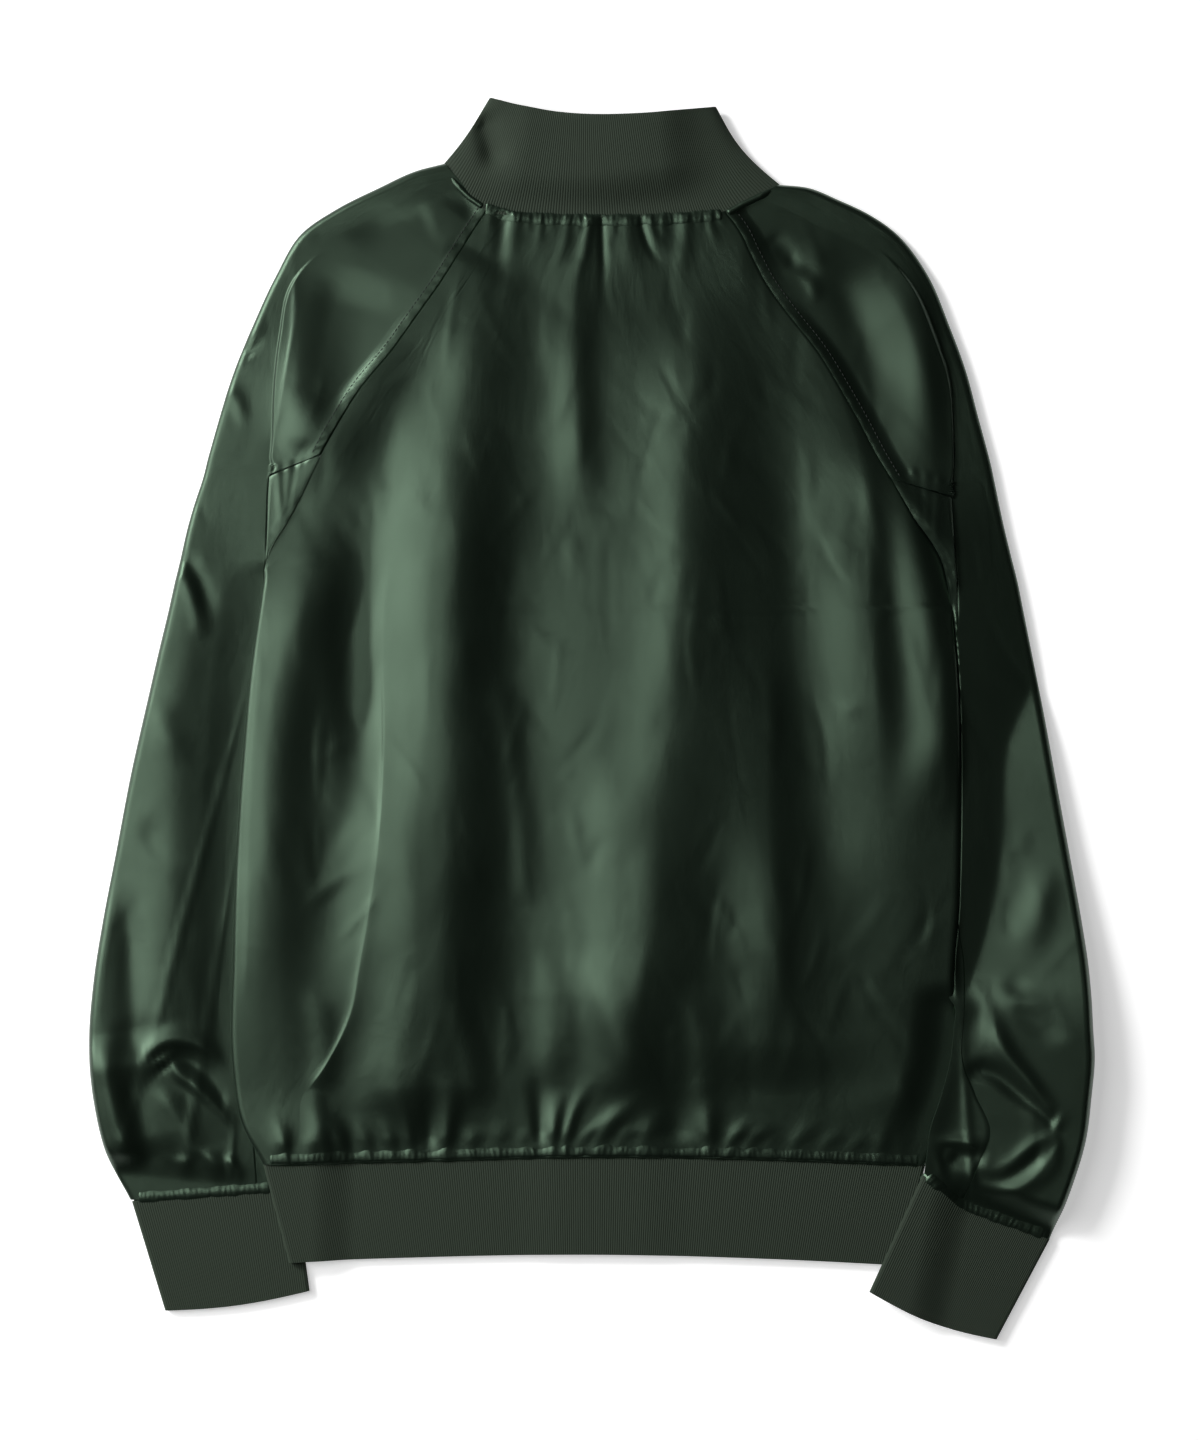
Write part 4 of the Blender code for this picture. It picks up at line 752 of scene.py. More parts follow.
def under_sheet(side):
    """The outer face of the under-sleeve, from the cross seam at the underarm to the cuff."""
    way = 1 if side == "left" else -1
    lines, place, corner, fine = sleeve_lines(side)
    lines = lines[fine >= place[corner + 1]][:, 2:6]
    if len(lines) % 2 == 0:
        lines = lines[:-1]
    cross_y = SHOULDERS[side][-1][2]
    cross = np.array([float(side_x[side](cross_y)) - way * HALF_SEAM, cross_y - SEAM])
    seam, inner = lines[:, None, 0:2], lines[:, None, 2:4]
    lift = ease(np.arange(len(lines)), 5, 0)[:, None, None]
    seam = seam - np.array([0, SEAM]) * lift
    inner = mix(inner, cross, lift)
    under_body = ease(inner[..., 1:], UNDERARM[side] + 1, UNDERARM[side] - 14)
    under_body = under_body * ease(inner[..., 1:], UNDERARM[side] - 90, UNDERARM[side] - 50)
    if side == "right":
        coming_out = ease(inner[..., 1:], -120, -145) * ease(inner[..., 1:], -192, -180)
        under_body = under_body + 0.7 * coming_out
    inner = inner + np.array([9 * way, 0]) * under_body
    width = np.linalg.norm(inner - seam, axis=2, keepdims=True)
    out = HALF_SEAM + (width - SEAM) * np.linspace(0, 1, 21)[:, None]
    spot = seam + out * (inner - seam) / width
    up = sleeve_top(side, spot[..., 0], spot[..., 1])
    above = ease(spot[..., 1], UNDERARM[side] - 6, UNDERARM[side] + 14)
    up = up + shoulder_fold(out[..., 0], SHOULDER_FOLD[side] * above)
    up[:, 0] -= SEAM_DIP * (side == "right")
    up[0] -= SEAM_DIP
    sheet = np.concatenate([spot, up[..., None]], 2)
    return sheet if side == "left" else sheet[:, ::-1]


sleeve_sheets = {side: sleeve_sheet(side) for side in ("left", "right")}
for side in ("left", "right"):
    cloth("sleeve_panel_" + side, sleeve_sheets[side], SATIN, satin, "sleeve_%s_top" % side)
    cloth("undersleeve_panel_" + side, under_sheet(side), SATIN, satin,
          "sleeve_%s_under" % side)

# --- The ribs --------------------------------------------------------------------------------
# Knitted rib, folded double: the stand collar, the hem band and the two cuffs. Its ribs are
# columns of stitches 1.5 mm apart, and it is stretched where the satin is gathered on to it.
RIB = 2.2              # wall of the doubled rib
RIB_DEPTH = 0.32
COLLAR_HEIGHT = 66
COLLAR = (  # neck x, neck y, top x, top y, level of the outer face
    (ZIP_X - ZIP_HALF, 277, ZIP_X - ZIP_HALF, 343, 0), (-28, 284, -22, 350, 0),
    (-50, 303, -42, 366, 0), (-69, 334, -58, 388, 0.2), (-87, 354.6, -65.5, 404, 1.2),
    (-97, 366, -67, 409, 5.3), (-87, 354.6, -61, 407.5, 9.6), (-69, 334, -46, 403.5, 10.6),
    (-31, 331, -22, 399, 10.6), (11, 330, 6, 397, 10.6), (52, 331, 38, 398, 10.6),
    (88, 334, 64, 401, 10.6), (112, 346, 77, 402.5, 9.6), (124, 352, 82, 403, 5.3),
    (112, 346, 80.5, 399, 1.2), (88, 334, 71, 383, 0.2), (62, 296, 53, 362, 0),
    (36, 283, 34, 350, 0), (ZIP_X + ZIP_HALF, 277, ZIP_X + ZIP_HALF, 343, 0))
COLLAR_FOLDS = (
    (20, 70, 4.6, 8, 22, (-40, 408), (-40, 380), (-46, 338)),
    (8, 10, -6.0, 12, 16, (-73, 402), (-69, 384), (-62, 358)),
    (60, 22, 9.0, 8, 26, (43, 408), (45, 378), (50, 338)))
COLLAR_FLARE = {-1: 2.0, 1: -6.0}   # how far its sides curve in, left and right
ZIP_HOLD = 3.2         # how far the slider holds the collar's front off the surface
# The corners of each cuff (inner and outer of its seam, then of its open end), how far the open
# end bows, where along the seam it sags most (as a part of its width) and how far.
CUFFS = {"left": (((-195, -310), (-303, -318), (-186, -377), (-281, -390)), 3, 0.25, 0),
         "right": (((218, -300), (302, -343), (183, -377), (267, -409)), 5, 0.29, 9.4)}
HEM_SIDES = ((-216, -199), (220, 203))   # x of its left and right side, at its seam and at its end
HEM_END = ((-216, -359), (-199, -358), (-120, -355), (6, -353), (120, -356), (220, -361))
hem_end = smooth(HEM_END)


def zip_lift(x, y):
    """How far the slider and its tab hold the collar's front off the surface."""
    return ZIP_HOLD * ease(y, 280, 303) * ease(abs(x - ZIP_X), 30, 8)


def ribbed(sheet, closed=False):
    """The sheet with ribs running down it: its points moved out along its own normals."""
    crosswise = np.gradient(sheet, axis=1)
    if closed:
        crosswise = np.roll(sheet, -1, 1) - np.roll(sheet, 1, 1)
    outward = -np.cross(crosswise, np.gradient(sheet, axis=0))
    outward /= np.maximum(np.linalg.norm(outward, axis=2, keepdims=True), 1e-9)
    wave = abs(np.cos(np.arange(sheet.shape[1]) * np.pi / 4))[:, None] ** 0.7
    moved = sheet + outward * RIB_DEPTH * (wave - 0.5)
    moved[..., 2] = np.maximum(moved[..., 2], 0)
    return moved


def spaced(line, count):
    """Places from 0 to the end of a line of points that part it into equal lengths."""
    run = np.concatenate([[0], np.cumsum(np.linalg.norm(np.diff(line, axis=0), axis=1))])
    return np.interp(np.linspace(0, run[-1], count), run, np.arange(len(line)))


def collar_sheet():
    """The stand collar from one side of the zip round the neck to the other."""
    parts = np.linspace(1, 2 * SEAM / COLLAR_HEIGHT, 29)[:, None]
    columns = [smooth(list(enumerate(row[k] for row in COLLAR))) for k in range(5)]
    coarse = np.linspace(0, len(COLLAR) - 1, 400)
    line = np.stack([mix(columns[0](coarse), columns[2](coarse), 0.5),
                     mix(columns[1](coarse), columns[3](coarse), 0.5), columns[4](coarse)], 1)
    around = spaced(line, 1161) * (len(COLLAR) - 1) / 399
    foot_x, foot_y, top_x, top_y, level = [column(around) for column in columns]
    x = mix(foot_x, top_x, parts)
    y = mix(foot_y, top_y, parts)
    curved = 4 * parts * (1 - parts) * ease(level, 0.5, 5)
    x = x + curved * (COLLAR_FLARE[-1] * ease(x, -50, -90) + COLLAR_FLARE[1] * ease(x, 50, 110))
    up = level + zip_lift(x, y) * ease(level, 2.0, 0.5)
    up = up + relief(x, y, COLLAR_FOLDS) * ease(level, 5, 9)
    return ribbed(np.stack([x, y, up + 0 * x], 2))


def hem_sheet():
    """The band from the centre front round the left edge, over the back and round again."""
    parts = np.linspace(0, 1, 15)
    half = RIB_STACK / 2
    angle = np.linspace(-90, 90, 25) * np.pi / 180
    round_x, round_up = half * np.cos(angle), half + half * np.sin(angle)
    rows = []
    for part in parts:
        left, right = mix(*HEM_SIDES[0], part) + half, mix(*HEM_SIDES[1], part) - half
        path_x = np.concatenate([np.linspace(ZIP_X - ZIP_HALF, left, 100)[:-1], left - round_x,
                                 np.linspace(left, right, 300)[1:-1], right + round_x[::-1],
                                 np.linspace(right, ZIP_X + ZIP_HALF, 100)[1:]])
        path_up = np.concatenate([np.zeros(99), round_up, hem_stack(np.linspace(left, right, 300)[1:-1]),
                                  round_up[::-1], np.zeros(99)])
        place = spaced(np.stack([path_x, path_up], 1), 2281)
        x = np.interp(place, np.arange(len(path_x)), path_x)
        up = np.interp(place, np.arange(len(path_x)), path_up)
        y = mix(hem_y(x) - SEAM, hem_end(x), part)
        rows.append(np.stack([x, y, up + body_floor(x, y)], 1))
    return ribbed(np.array(rows))


def sagged(along, place, sag):
    """How far a cuff's seam sags along its width, most at the place."""
    return sag * np.minimum(along / place, (1 - along) / (1 - place))


def cuff_sheet(side):
    """A flat tube of rib, from the sleeve's end to the open end."""
    corners, bow, sag_place, sag = CUFFS[side]
    inner_top, outer_top, inner_end, outer_end = [np.array(c, float) for c in corners]
    half = RIB_STACK / 2
    angle = np.linspace(90, -90, 25) * np.pi / 180
    rows = []
    for part in np.linspace(0, 1, 21):
        inner, outer = mix(inner_top, inner_end, part), mix(outer_top, outer_end, part)
        width = np.linalg.norm(outer - inner)
        flat = np.linspace(half, width - half, 60)
        out = np.concatenate([flat[:-1], width - half + half * np.cos(angle),
                              flat[::-1][1:-1], half - half * np.cos(angle)])
        up = np.concatenate([np.full(59, RIB_STACK), half + half * np.sin(angle), np.zeros(58),
                             half - half * np.sin(angle)])
        place = spaced(np.stack([out, up], 1), 577)[:-1]
        out, up = [np.interp(place, np.arange(len(out)), each) for each in (out, up)]
        along = np.clip(out / width, 0, 1)
        dip = mix(sagged(along, sag_place, sag) + SEAM, bow * np.sin(np.pi * along), part)
        spot = inner + out[:, None] / width * (outer - inner)
        x, y = spot[:, 0], spot[:, 1] - dip
        rows.append(np.stack([x, y, up + sleeve_floor(side, spot[:, 0], spot[:, 1])], 1))
    sheet = np.array(rows)
    return ribbed(sheet[:, ::-1] if side == "left" else sheet, closed=True)


rib = material("rib_knit", Base_Color=(0.0235, 0.0345, 0.0225, 1), Roughness=0.85,
               Specular_IOR_Level=0.3, Sheen_Weight=0.1, Sheen_Roughness=0.5,
               Sheen_Tint=(0.66, 1.0, 0.66, 1))[0]
cloth("collar", collar_sheet(), RIB, rib, "collar_rib")
cloth("hem_band", hem_sheet(), RIB, rib, "hem_rib")
for side in ("left", "right"):
    cloth("cuff_band_" + side, cuff_sheet(side), RIB, rib, "cuff_" + side,
          closed=True)

# --- The gathered seams ------------------------------------------------------------------------
# Where satin is sewn to rib, its turned edge is topstitched into a narrow band, and the rib's
# pull gathers it into small uneven ridges. On the sleeves' part of the neck the band is plain.
BAND = 0.6             # wall of the topstitched edge
RIDGE_LIMITS = ((0.4, 1.0), (-1.4, 1.4), (0.9, 1.5))   # of a ridge's size, lean and half-width


def band_sheet(line, level, wide, tall, ridge=0.0, pitch=3.2, seed=1, ends=5.0):
    """A narrow band along a line of points from left to right, and its ridges across it.

    It is wide and tall, its uneven ridges lie a pitch apart, and it dips away over its ends.
    """
    line = np.array(line, float)
    run = np.concatenate([[0], np.cumsum(np.linalg.norm(np.diff(line, axis=0), axis=1))])
    count = int(run[-1] / 0.55) // 2 * 2 + 1
    place = np.linspace(0, run[-1], count)
    spot = np.stack([np.interp(place, run, line[:, 0]), np.interp(place, run, line[:, 1])], 1)
    along = np.gradient(spot, axis=0)
    along /= np.linalg.norm(along, axis=1, keepdims=True)
    aside = np.stack([-along[:, 1], along[:, 0]], 1)
    across = np.linspace(1, -1, 11)[:, None]
    chance = np.random.default_rng(seed)
    ridges = 0
    start = 0.0
    while ridge and start < run[-1]:
        start += pitch * chance.uniform(0.6, 1.45)
        size, lean, half = [chance.uniform(*limits) for limits in RIDGE_LIMITS]
        ridges = ridges + size * np.exp(-((place - start - lean * across) / half) ** 2)
    wander = 0.35 * np.sin(place / 4.1 + seed) + 0.25 * np.sin(place / 1.7)
    plan = spot + across[..., None] * aside * (wide / 2 + (wander * bool(ridge)))[:, None]
    arch = 1 - across ** 2
    fall = 3.0 * ease(np.minimum(place, run[-1] - place), ends, 0)
    up = level(plan[..., 0], plan[..., 1]) - 0.5 + arch * (tall + ridge * ridges) - fall
    return np.concatenate([plan, up[..., None]], 2)


def gathered_band(name, sheet):
    """A panel's gathered edge as a piece of satin cloth."""
    cloth(name, sheet, BAND, satin, None)


def hem_level(x, y):
    """Height of the satin over the hem seam, and of the rib just below it."""
    satin_up = body_top(x, np.maximum(y, hem_y(x) + 0.5))
    return mix(body_floor(x, y) + hem_stack(x), satin_up, ease(y - hem_y(x), -1.6, 0.6))


def neck_level(x, y):
    """Height of the satin under the neck seam, and of the rib just above it."""
    satin_up = body_top(x, np.minimum(y, neck_y(x) - 0.5))
    return mix(NECK_LEVEL + 0 * x, satin_up, ease(neck_y(x) - y, -1.6, 0.6))


def shoulder_neck_level(x, _):
    """Height of the neck seam on the two shoulders, where the collar turns down."""
    return np.interp(x, (-97, -87, -69, 88, 112, 124), (6.5, 10.2, 11, 11, 10.2, 6.5))


def cuff_level(side):
    """A function for the height of a sleeve over its cuff seam, and of the rib below it."""
    seam_x, seam_y, slope = CUFF_LINE[side]

    def level(x, y):
        seam = seam_y + slope * (x - seam_x)
        satin_up = sleeve_top(side, x, np.maximum(y, seam + 0.5))
        return mix(RIB_STACK + sleeve_floor(side, x, y), satin_up, ease(y - seam, -1.6, 0.6))
    return level


def cuff_seam(side, start, end):
    """Points along a cuff's seam, a little above it, from one part of its width to another."""
    corners, _, sag_place, sag = CUFFS[side]
    inner, outer = np.array(corners[:2], float)
    part = np.linspace(start, end, 60)
    line = inner + part[:, None] * (outer - inner) + np.array([0, 2.2])
    line[:, 1] -= sagged(part, sag_place, sag)
    return line[::-1] if side == "left" else line


hem_x = np.linspace(-215, 219, 200)
hem_line = np.stack([hem_x, hem_y(hem_x) + 2.6], 1)
gathered_band("hem_gathers", band_sheet(hem_line, hem_level, 10.2, 1.0, 0.22, 3.1, seed=3))
neck_x = np.linspace(-71, 87, 90)
neck_line = np.stack([neck_x, neck_y(neck_x) - 1.8 + 4 * ease(neck_x, -50, -71)], 1)
gathered_band("neck_gathers", band_sheet(neck_line, neck_level, 10.6, 1.1, 0.26, 3.3, seed=4, ends=2))
SHOULDER_NECK = {"left": [(-97, 362), (-89, 351.5), (-80, 343), (-70, 336)],
                 "right": [(88, 332), (100, 339), (112, 344.5), (123, 350)]}
for side, line in SHOULDER_NECK.items():
    gathered_band("neck_band_" + side, band_sheet(line, shoulder_neck_level, 4.4, 1.3, ends=3))
for side, start, seed in (("left", 0.12, 5), ("right", 0.01, 6)):
    line = cuff_seam(side, start, 0.99)
    gathered_band("cuff_gathers_" + side, band_sheet(line, cuff_level(side), 9.4, 1.1, 0.24, 2.9, seed=seed))

# --- The stitches ------------------------------------------------------------------------------
# A row of lockstitches in thread of the same green holds the raglan seam's allowance down, six
# millimetres from the seam.
def along_path_group():
    """Geometry nodes that set one part again and again along a path, turned to follow it."""
    group, add, given, put = new_group(
        "along_path", "GeometryNodeTree",
        [("Path", "Geometry", None), ("Spacing", "Float", 0.003), ("Part", "Object", None),
         ("Look", "Material", None), ("Play", "Float", 0.04)], [("Parts", "Geometry")])
    curve = add("GeometryNodeMeshToCurve", Mesh=given["Path"])
    even = add("GeometryNodeResampleCurve", [("mode", "LENGTH")], Curve=curve.outputs[0],
               Length=given["Spacing"])
    heading = add("GeometryNodeInputTangent")
    turned = add("FunctionNodeAlignRotationToVector", [("axis", "X")], Vector=heading.outputs[0])
    part = add("GeometryNodeObjectInfo", Object=given["Part"])
    least = add("ShaderNodeMath", [("operation", "SUBTRACT")], i0=1.0, i1=given["Play"])
    most = add("ShaderNodeMath", [("operation", "ADD")], i0=1.0, i1=given["Play"])
    size = add("FunctionNodeRandomValue", [("data_type", "FLOAT")], Seed=5, i2=least.outputs[0],
               i3=most.outputs[0])
    each = add("GeometryNodeInstanceOnPoints", Points=even.outputs[0], Instance=part.outputs["Geometry"],
               Rotation=turned.outputs[0], Scale=size.outputs[1])
    real = add("GeometryNodeRealizeInstances", Geometry=each.outputs[0])
    painted = add("GeometryNodeSetMaterial", Geometry=real.outputs[0], Material=given["Look"])
    feed(put, Parts=painted.outputs[0])
    return group


along_path = along_path_group()


def repeat(name, paths, spacing, part, look, play=0.04):
    """A plain mesh of one part set along paths of points in millimetres."""
    path_mesh = bpy.data.meshes.new(name + "_path")
    points = np.concatenate([np.array(path, float) for path in paths]) * MM
    firsts = np.cumsum([0] + [len(path) for path in paths])
    edges = [(k, k + 1) for a, b in zip(firsts, firsts[1:]) for k in range(a, b - 1)]
    path_mesh.from_pydata(points.tolist(), edges, [])
    carrier = placed(name + "_path", path_mesh)
    nodes = carrier.modifiers.new("along_path", "NODES")
    nodes.node_group = along_path
    named = {item.name: item.identifier for item in along_path.interface.items_tree
             if item.in_out == "INPUT"}
    for label, value in (("Spacing", spacing * MM), ("Part", part), ("Look", look), ("Play", play)):
        nodes[named[label]] = value
    bpy.context.view_layer.update()
    made = bpy.data.meshes.new_from_object(carrier.evaluated_get(bpy.context.evaluated_depsgraph_get()))
    made.name = name
    bpy.data.objects.remove(carrier, do_unlink=True)
    made.shade_smooth()
    made.set_sharp_from_angle(angle=0.7)
    bpy.data.objects.remove(part, do_unlink=True)
    return placed(name, made)


def modelled(name, mesh_maker):
    """An object whose mesh a maker fills."""
    body = bmesh.new()
    mesh_maker(body)
    mesh = bpy.data.meshes.new(name)
    body.to_mesh(mesh)
    body.free()
    return placed(name, mesh)


def belongs(thing, body, slot, *nodes):
    """Puts a hard piece on a body, and has it stand for some nodes. The slot it is given is not used."""
    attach(thing, body)
    if nodes:
        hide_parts(*nodes)


def stitch_shape(body):
    """One stitch as it lies on the cloth, its thread sinking in at both ends."""
    bmesh.ops.create_uvsphere(body, u_segments=8, v_segments=6, radius=1)
    bmesh.ops.scale(body, vec=(1.15 * MM, 0.34 * MM, 0.26 * MM), verts=body.verts)


thread = material("thread", Base_Color=(0.005, 0.009, 0.006, 1), Roughness=0.7)[0]
STITCH_PITCH = 3.1
STITCH_UP = 0.1        # its middle above the cloth
STITCH_COLUMN = 9      # the column of a sleeve's sheet that is six millimetres out
UNDER_STITCH_OUT = 7.6 # from the seam, on the under-sleeve, whose seam runs askew
raglan_paths = []
for side, way in (("left", 1), ("right", -1)):
    sheet = sleeve_sheets[side][:, ::-1] if side == "left" else sleeve_sheets[side]
    path = sheet[2:, STITCH_COLUMN] + np.array([0, 0, STITCH_UP])
    raglan_paths.append(path[path[:, 1] > SHOULDERS[side][-1][2] + 2])
    y = np.linspace(SHOULDERS[side][-1][2] - 3, UNDERARM[side] + 14, 40)
    x = side_x[side](y) - UNDER_STITCH_OUT * way
    raglan_paths.append(np.stack([x, y, sleeve_top(side, x, y) + STITCH_UP], 1))
belongs(repeat("raglan_stitches", raglan_paths, STITCH_PITCH, modelled("stitch", stitch_shape), thread),
        "jacket", "satin")

# --- The zip's tapes and teeth ------------------------------------------------------------------
# Two woven tapes are sewn behind the fronts' edges, from the hem's end to the collar's top. Metal
# teeth clamped to their beaded edges mesh along the centre front, down to a box at the foot.
ZIP_TOP = 338.0        # upper end of the chain
ZIP_FOOT = -350.0
TAPE = 0.8             # thickness
TAPE_COLUMNS = (0.5, 0.8, 1.2, 1.6, 2.0, 2.6, 4.0, 6.0, 8.0, 10.0, 12.0, 13.6, 15.0)   # from its middle
TAPE_COVER = 0.4       # between a front and the tape
TOOTH_PITCH = 2.6
TOOTH_LEVEL = 1.0      # middle of the chain above the fronts' outer face


def tape_level(y):
    """Upper face of the tapes, which lie on the fronts, on the hem rib and on the collar."""
    rib_wall = np.maximum(ease(y, 262, 276), ease(y, -274, -288))
    return zip_lift(ZIP_X, y) + mix(SATIN, RIB, rib_wall) + TAPE_COVER + TAPE


def tape_sheet(way):
    """A tape's upper face, with the rounded bead along the edge that carries the teeth."""
    y = np.linspace(ZIP_TOP, ZIP_FOOT, 231)[:, None]
    out = np.array(TAPE_COLUMNS)
    bead = 0.3 * np.exp(-((out - 1.2) / 0.6) ** 2)
    sewn = -0.15 * np.exp(-((out - 8.0) / 0.8) ** 2)
    sheet = np.stack([ZIP_X + way * out + 0 * y, y + 0 * out, tape_level(y) + bead + sewn], 2)
    return sheet if way > 0 else sheet[:, ::-1]


def tape_material():
    """A twilled polyester tape, its fine diagonal ribs running down the tape's length."""
    made, add, shader = material("zip_tape_weave", Roughness=0.8, Sheen_Weight=0.2)
    place = add("ShaderNodeUVMap", [("uv_map", "UVMap")])
    turned = add("ShaderNodeMapping", Vector=place.outputs[0], Rotation=(0, 0, 0.9))
    twill = add("ShaderNodeTexWave", [("wave_type", "BANDS"), ("bands_direction", "X")],
                Vector=turned.outputs[0], Scale=420.0, Distortion=0.6, Detail=1.0)
    tint = add("ShaderNodeMixRGB", i0=twill.outputs["Fac"], i1=(0.010, 0.017, 0.012, 1),
               i2=(0.024, 0.038, 0.027, 1))
    ribs = add("ShaderNodeBump", Height=twill.outputs["Fac"], Strength=0.5, Distance=0.0002)
    feed(shader, Base_Color=tint.outputs[0], Normal=ribs.outputs[0])
    return made


def metal_material():
    """Polished grey metal, its gloss worn uneven by handling."""
    made, add, shader = material("zip_metal_worn", Metallic=1.0)
    place = add("ShaderNodeTexCoord")
    wear = add("ShaderNodeTexNoise", Vector=place.outputs["Object"], Scale=350.0, Detail=4.0, Roughness=0.6)
    tint = add("ShaderNodeMixRGB", i0=wear.outputs["Fac"], i1=(0.22, 0.22, 0.21, 1),
               i2=(0.36, 0.36, 0.34, 1))
    gloss = add("ShaderNodeMapRange", Value=wear.outputs["Fac"], To_Min=0.26, To_Max=0.46)
    scratches = add("ShaderNodeBump", Height=wear.outputs["Fac"], Strength=0.15, Distance=0.00005)
    feed(shader, Base_Color=tint.outputs[0], Roughness=gloss.outputs[0], Normal=scratches.outputs[0])
    return made


def add_block(body, low, high, round_by):
    """A bevelled block between two corners, in millimetres."""
    made = bmesh.ops.create_cube(body, size=1)["verts"]
    low, high = Vector(low) * MM, Vector(high) * MM
    for point in made:
        point.co = Vector([b if c > 0 else a for a, b, c in zip(low, high, point.co)])
    edges = list(dict.fromkeys(edge for point in made for edge in point.link_edges))
    bmesh.ops.bevel(body, geom=edges, offset=round_by * MM, segments=1, affect="EDGES", profile=0.5)


def tooth_shape(body):
    """The legs that grip the tape's bead, and the head that locks between two opposite heads."""
    add_block(body, (-0.62, -2.7, -0.85), (0.62, -0.3, 0.85), 0.22)
    add_block(body, (-0.5, -0.7, -0.6), (0.5, 1.0, 0.6), 0.3)


def metal_piece(name, maker, body, *nodes):
    """A metal piece from a mesh maker, on a body and standing for some nodes."""
    thing = modelled(name, maker)
    thing.data.materials.append(metal)
    belongs(thing, body, "zip_metal", *nodes)


def zip_box_shape(body):
    """The box at the foot, and the pin of the other half where it goes in."""
    add_block(body, (ZIP_X - 3.6, -351, 0.2), (ZIP_X + 3.6, -341, 2.9), 0.5)
    add_block(body, (ZIP_X - 2.6, -341.6, 0.5), (ZIP_X - 0.9, -337, 2.5), 0.3)


tape = tape_material()
metal = metal_material()
for side, way in (("left", -1), ("right", 1)):
    cloth("zip_tape_" + side + "_woven", tape_sheet(way), TAPE, tape, "zip_tape_" + side)
chain_y = np.linspace(ZIP_TOP - 1.5, ZIP_FOOT + 9.5, 120)
chain = np.stack([np.full(120, ZIP_X), chain_y, zip_lift(ZIP_X, chain_y) + TOOTH_LEVEL], 1)
other_chain = (chain - np.array([0, TOOTH_PITCH / 2, 0]))[::-1]
belongs(repeat("zip_teeth", [chain, other_chain], TOOTH_PITCH, modelled("tooth", tooth_shape), metal,
               play=0.0), "jacket", "zip_metal")
metal_piece("zip_box", zip_box_shape, "jacket")

# --- The zip's slider and pull tab --------------------------------------------------------------
# A cast slider stands at the top of the closed chain: two plates joined by a wedge, with rails
# that hold the teeth together. A flat tab hangs from the bridge on its outer plate, and it is
# free to turn on its crossbar.
SLIDER_FOOT = 329.6    # y of its lower end
SLIDER_LENGTH = 13.0
PULL_AXIS = (333.4, 1.3)   # y and level of the crossbar
HALF_PULL = 0.4        # half the tab's thickness
BRIDGE = 0.9           # half the bridge's width


def add_plate(body, outline, low, high, round_by, sunk=0.0):
    """A flat plate with rounded edges on an outline, its faces sunk inside their rims."""
    points = [body.verts.new((x * MM, y * MM, low * MM)) for x, y in outline]
    base = body.faces.new(points)
    made = bmesh.ops.extrude_face_region(body, geom=[base])["geom"]
    top = [part for part in made if isinstance(part, bmesh.types.BMVert)]
    bmesh.ops.translate(body, vec=(0, 0, (high - low) * MM), verts=top)
    faces = list(dict.fromkeys(face for point in points + top for face in point.link_faces))
    bmesh.ops.recalc_face_normals(body, faces=faces)
    flats = [face for face in faces if len(face.verts) == len(outline)]
    rims = list(dict.fromkeys(edge for face in flats for edge in face.edges))
    bmesh.ops.bevel(body, geom=rims, offset=round_by * MM, segments=2, affect="EDGES", profile=0.5)
    if sunk:
        flats = [face for face in body.faces if len(face.verts) == len(outline)]
        bmesh.ops.inset_region(body, faces=flats, thickness=0.7 * MM, depth=-sunk * MM)


def rounded(half_widths):
    """An outline from rows of y and half-width, mirrored about the centre front."""
    line = smooth(half_widths)
    y = np.linspace(half_widths[0][0], half_widths[-1][0], 15)
    right = [(ZIP_X + float(line(each)), float(each)) for each in y]
    return right + [(2 * ZIP_X - x, each) for x, each in right[::-1]]


def slider_shape(body):
    """Two shields, the rails between them, the wedge that parts the teeth, and the tab's bridge."""
    foot = SLIDER_FOOT
    shield = rounded(((foot, 2.2), (foot + 0.5, 2.7), (foot + 2, 2.9), (foot + 7, 3.2), (foot + 11.5, 3.3),
                      (foot + 12.6, 2.8), (foot + SLIDER_LENGTH, 2.0)))
    add_plate(body, shield, 2.0, 2.9, 0.25)
    add_plate(body, shield, 6.9, 7.7, 0.25)
    for way in (-1, 1):
        low, high = sorted((ZIP_X + way * 2.75, ZIP_X + way * 3.25))
        add_block(body, (low, foot + 0.6, 2.5), (high, foot + 8.5, 4.6), 0.15)
    wedge = [(ZIP_X, foot + 8.6), (ZIP_X + 1.1, foot + 10.2), (ZIP_X + 1.8, foot + 12.6),
             (ZIP_X - 1.8, foot + 12.6), (ZIP_X - 1.1, foot + 10.2)]
    add_plate(body, wedge, 2.8, 7.0, 0.1)
    for start, end, low, high, round_by in ((1.6, 2.8, 0.2, 2.2, 0.25), (10.2, 11.4, 0.2, 2.2, 0.25),
                                            (1.8, 11.2, 0.0, 0.6, 0.2)):
        add_block(body, (ZIP_X - BRIDGE, foot + start, low), (ZIP_X + BRIDGE, foot + end, high), round_by)


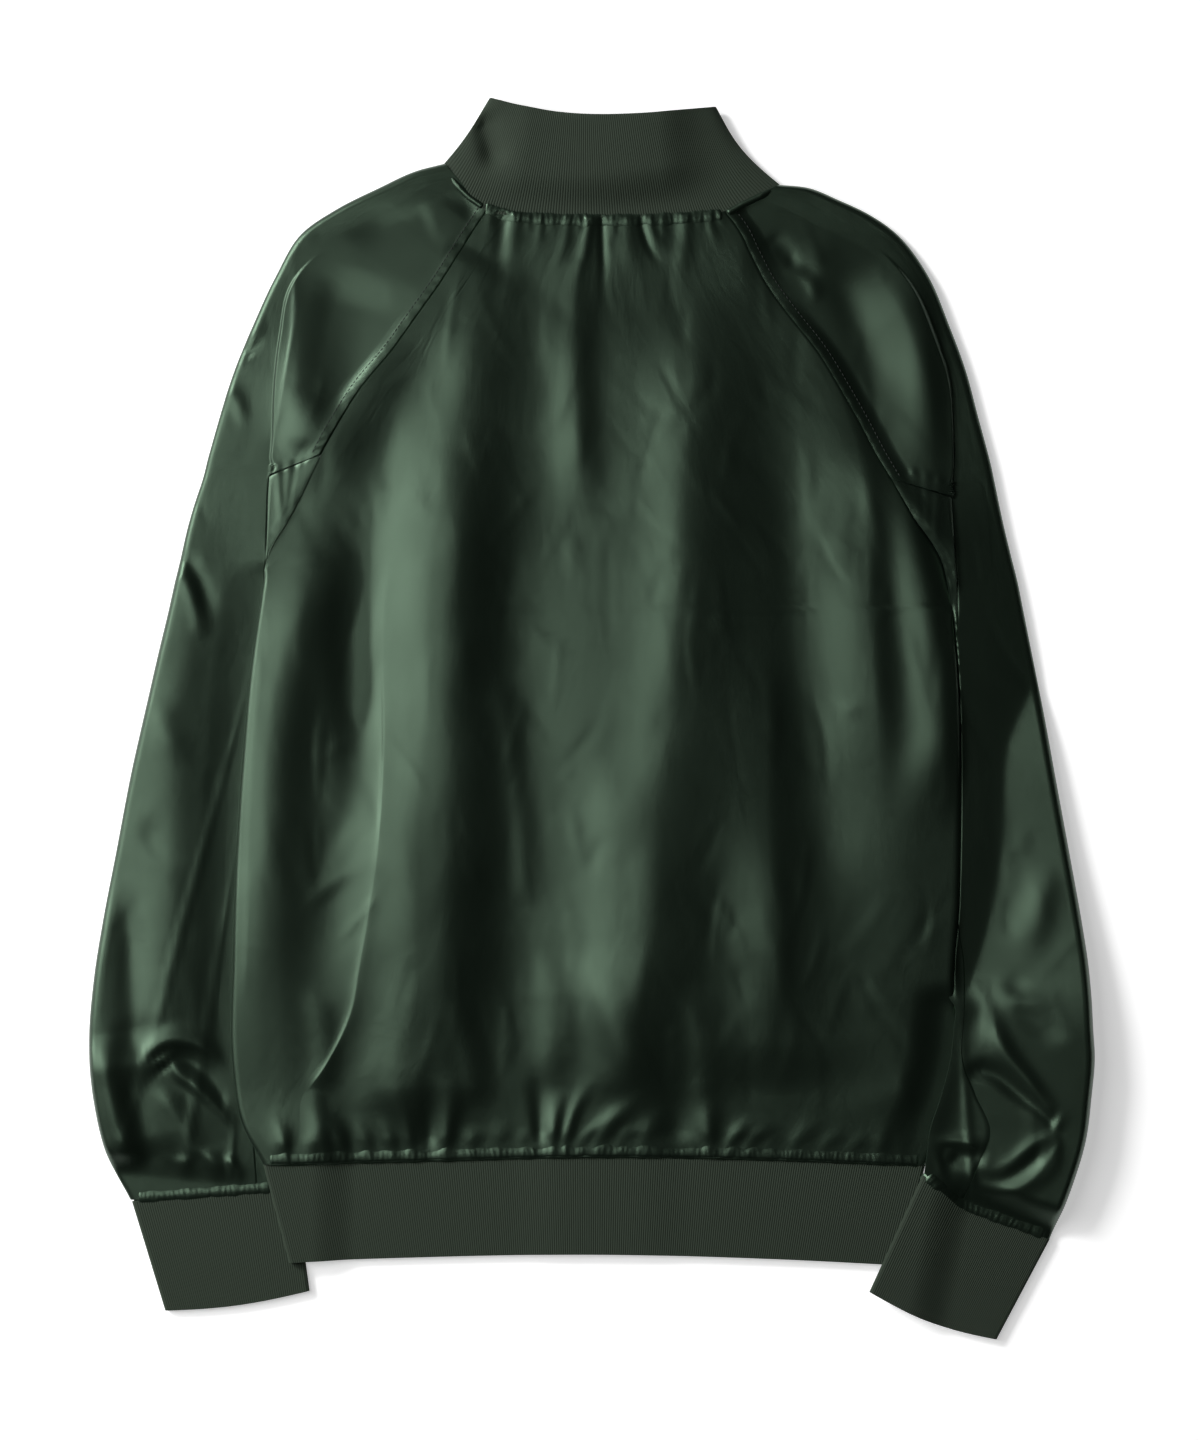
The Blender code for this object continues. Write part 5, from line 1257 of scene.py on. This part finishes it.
def pull_shape(body):
    """The crossbar, the two arms of its eye, and the flat tab."""
    axis_y, axis_up = PULL_AXIS
    low, high = axis_up - HALF_PULL, axis_up + HALF_PULL
    add_block(body, (ZIP_X - 3.4, axis_y - HALF_PULL, low), (ZIP_X + 3.4, axis_y + HALF_PULL, high), 0.2)
    for way in (-1, 1):
        left, right = sorted((ZIP_X + way * 2.1, ZIP_X + way * 3.5))
        add_block(body, (left, axis_y - 5.2, low), (right, axis_y + 0.3, high), 0.2)
    tab = rounded(((axis_y - 28, 1.5), (axis_y - 27.2, 2.7), (axis_y - 25, 3.35), (axis_y - 15, 3.2),
                   (axis_y - 8, 3.0), (axis_y - 5, 3.4), (axis_y - 3.9, 3.4)))
    add_plate(body, tab, low, high, 0.15, sunk=0.12)


metal_piece("zip_slider_cast", slider_shape, "jacket", "zip_slider")
metal_piece("zip_pull_tab", pull_shape, "pull", "zip_pull")

# --- The floor, light and camera ---------------------------------------------------------------
# A pale sheet lies under the jacket. Three soft lights stand on its left, so that each fold
# shows by its slope, and the camera looks straight down.
FLOOR = 9              # half its side, in metres
VIEW_HEIGHT = 0.9504   # what the picture's height shows, in metres
LENS, SENSOR = 120, 36


def panel_light(name, place, size, power):
    """A soft white rectangular light that faces the jacket's middle."""
    made = bpy.data.lights.new(name, "AREA")
    made.shape = "RECTANGLE"
    made.size, made.size_y = size
    made.energy = power
    thing = placed(name, made)
    thing.location = place
    thing.rotation_euler = (-Vector(place)).to_track_quat("-Z", "Y").to_euler()


floor_mesh = bpy.data.meshes.new("floor")
floor_mesh.from_pydata([(-FLOOR, -FLOOR, 0), (FLOOR, -FLOOR, 0), (FLOOR, FLOOR, 0), (-FLOOR, FLOOR, 0)], [],
                       [(0, 1, 2, 3)])
floor_mesh.materials.append(material("floor_paper", Base_Color=(0.9, 0.9, 0.9, 1), Roughness=0.9,
                                     Emission_Color=(1, 1, 1, 1), Emission_Strength=0.48)[0])
floor = placed("floor", floor_mesh)
floor.location = (0, 0, -0.0006)
panel_light("light_near_left", (-0.95, 0.05, 1.15), (0.6, 1.5), 12)
panel_light("light_side_left", (-2.4, 0.4, 0.8), (0.4, 2.0), 12)
panel_light("light_far_left", (-4.2, 3.0, 3.0), (1.4, 1.4), 330)
world = bpy.data.worlds.new("studio")
bpy.context.scene.world = world
world.use_nodes = True
feed(world.node_tree.nodes["Background"], Color=(1, 1, 1, 1), Strength=0.02)

lens = bpy.data.cameras.new("camera")
lens.lens = LENS
lens.sensor_fit = "VERTICAL"
lens.sensor_height = SENSOR
camera = placed("camera", lens)
camera.location = (0.0056, -0.00066, VIEW_HEIGHT * LENS / SENSOR)
bpy.context.scene.camera = camera
bpy.context.scene.view_settings.view_transform = "Standard"
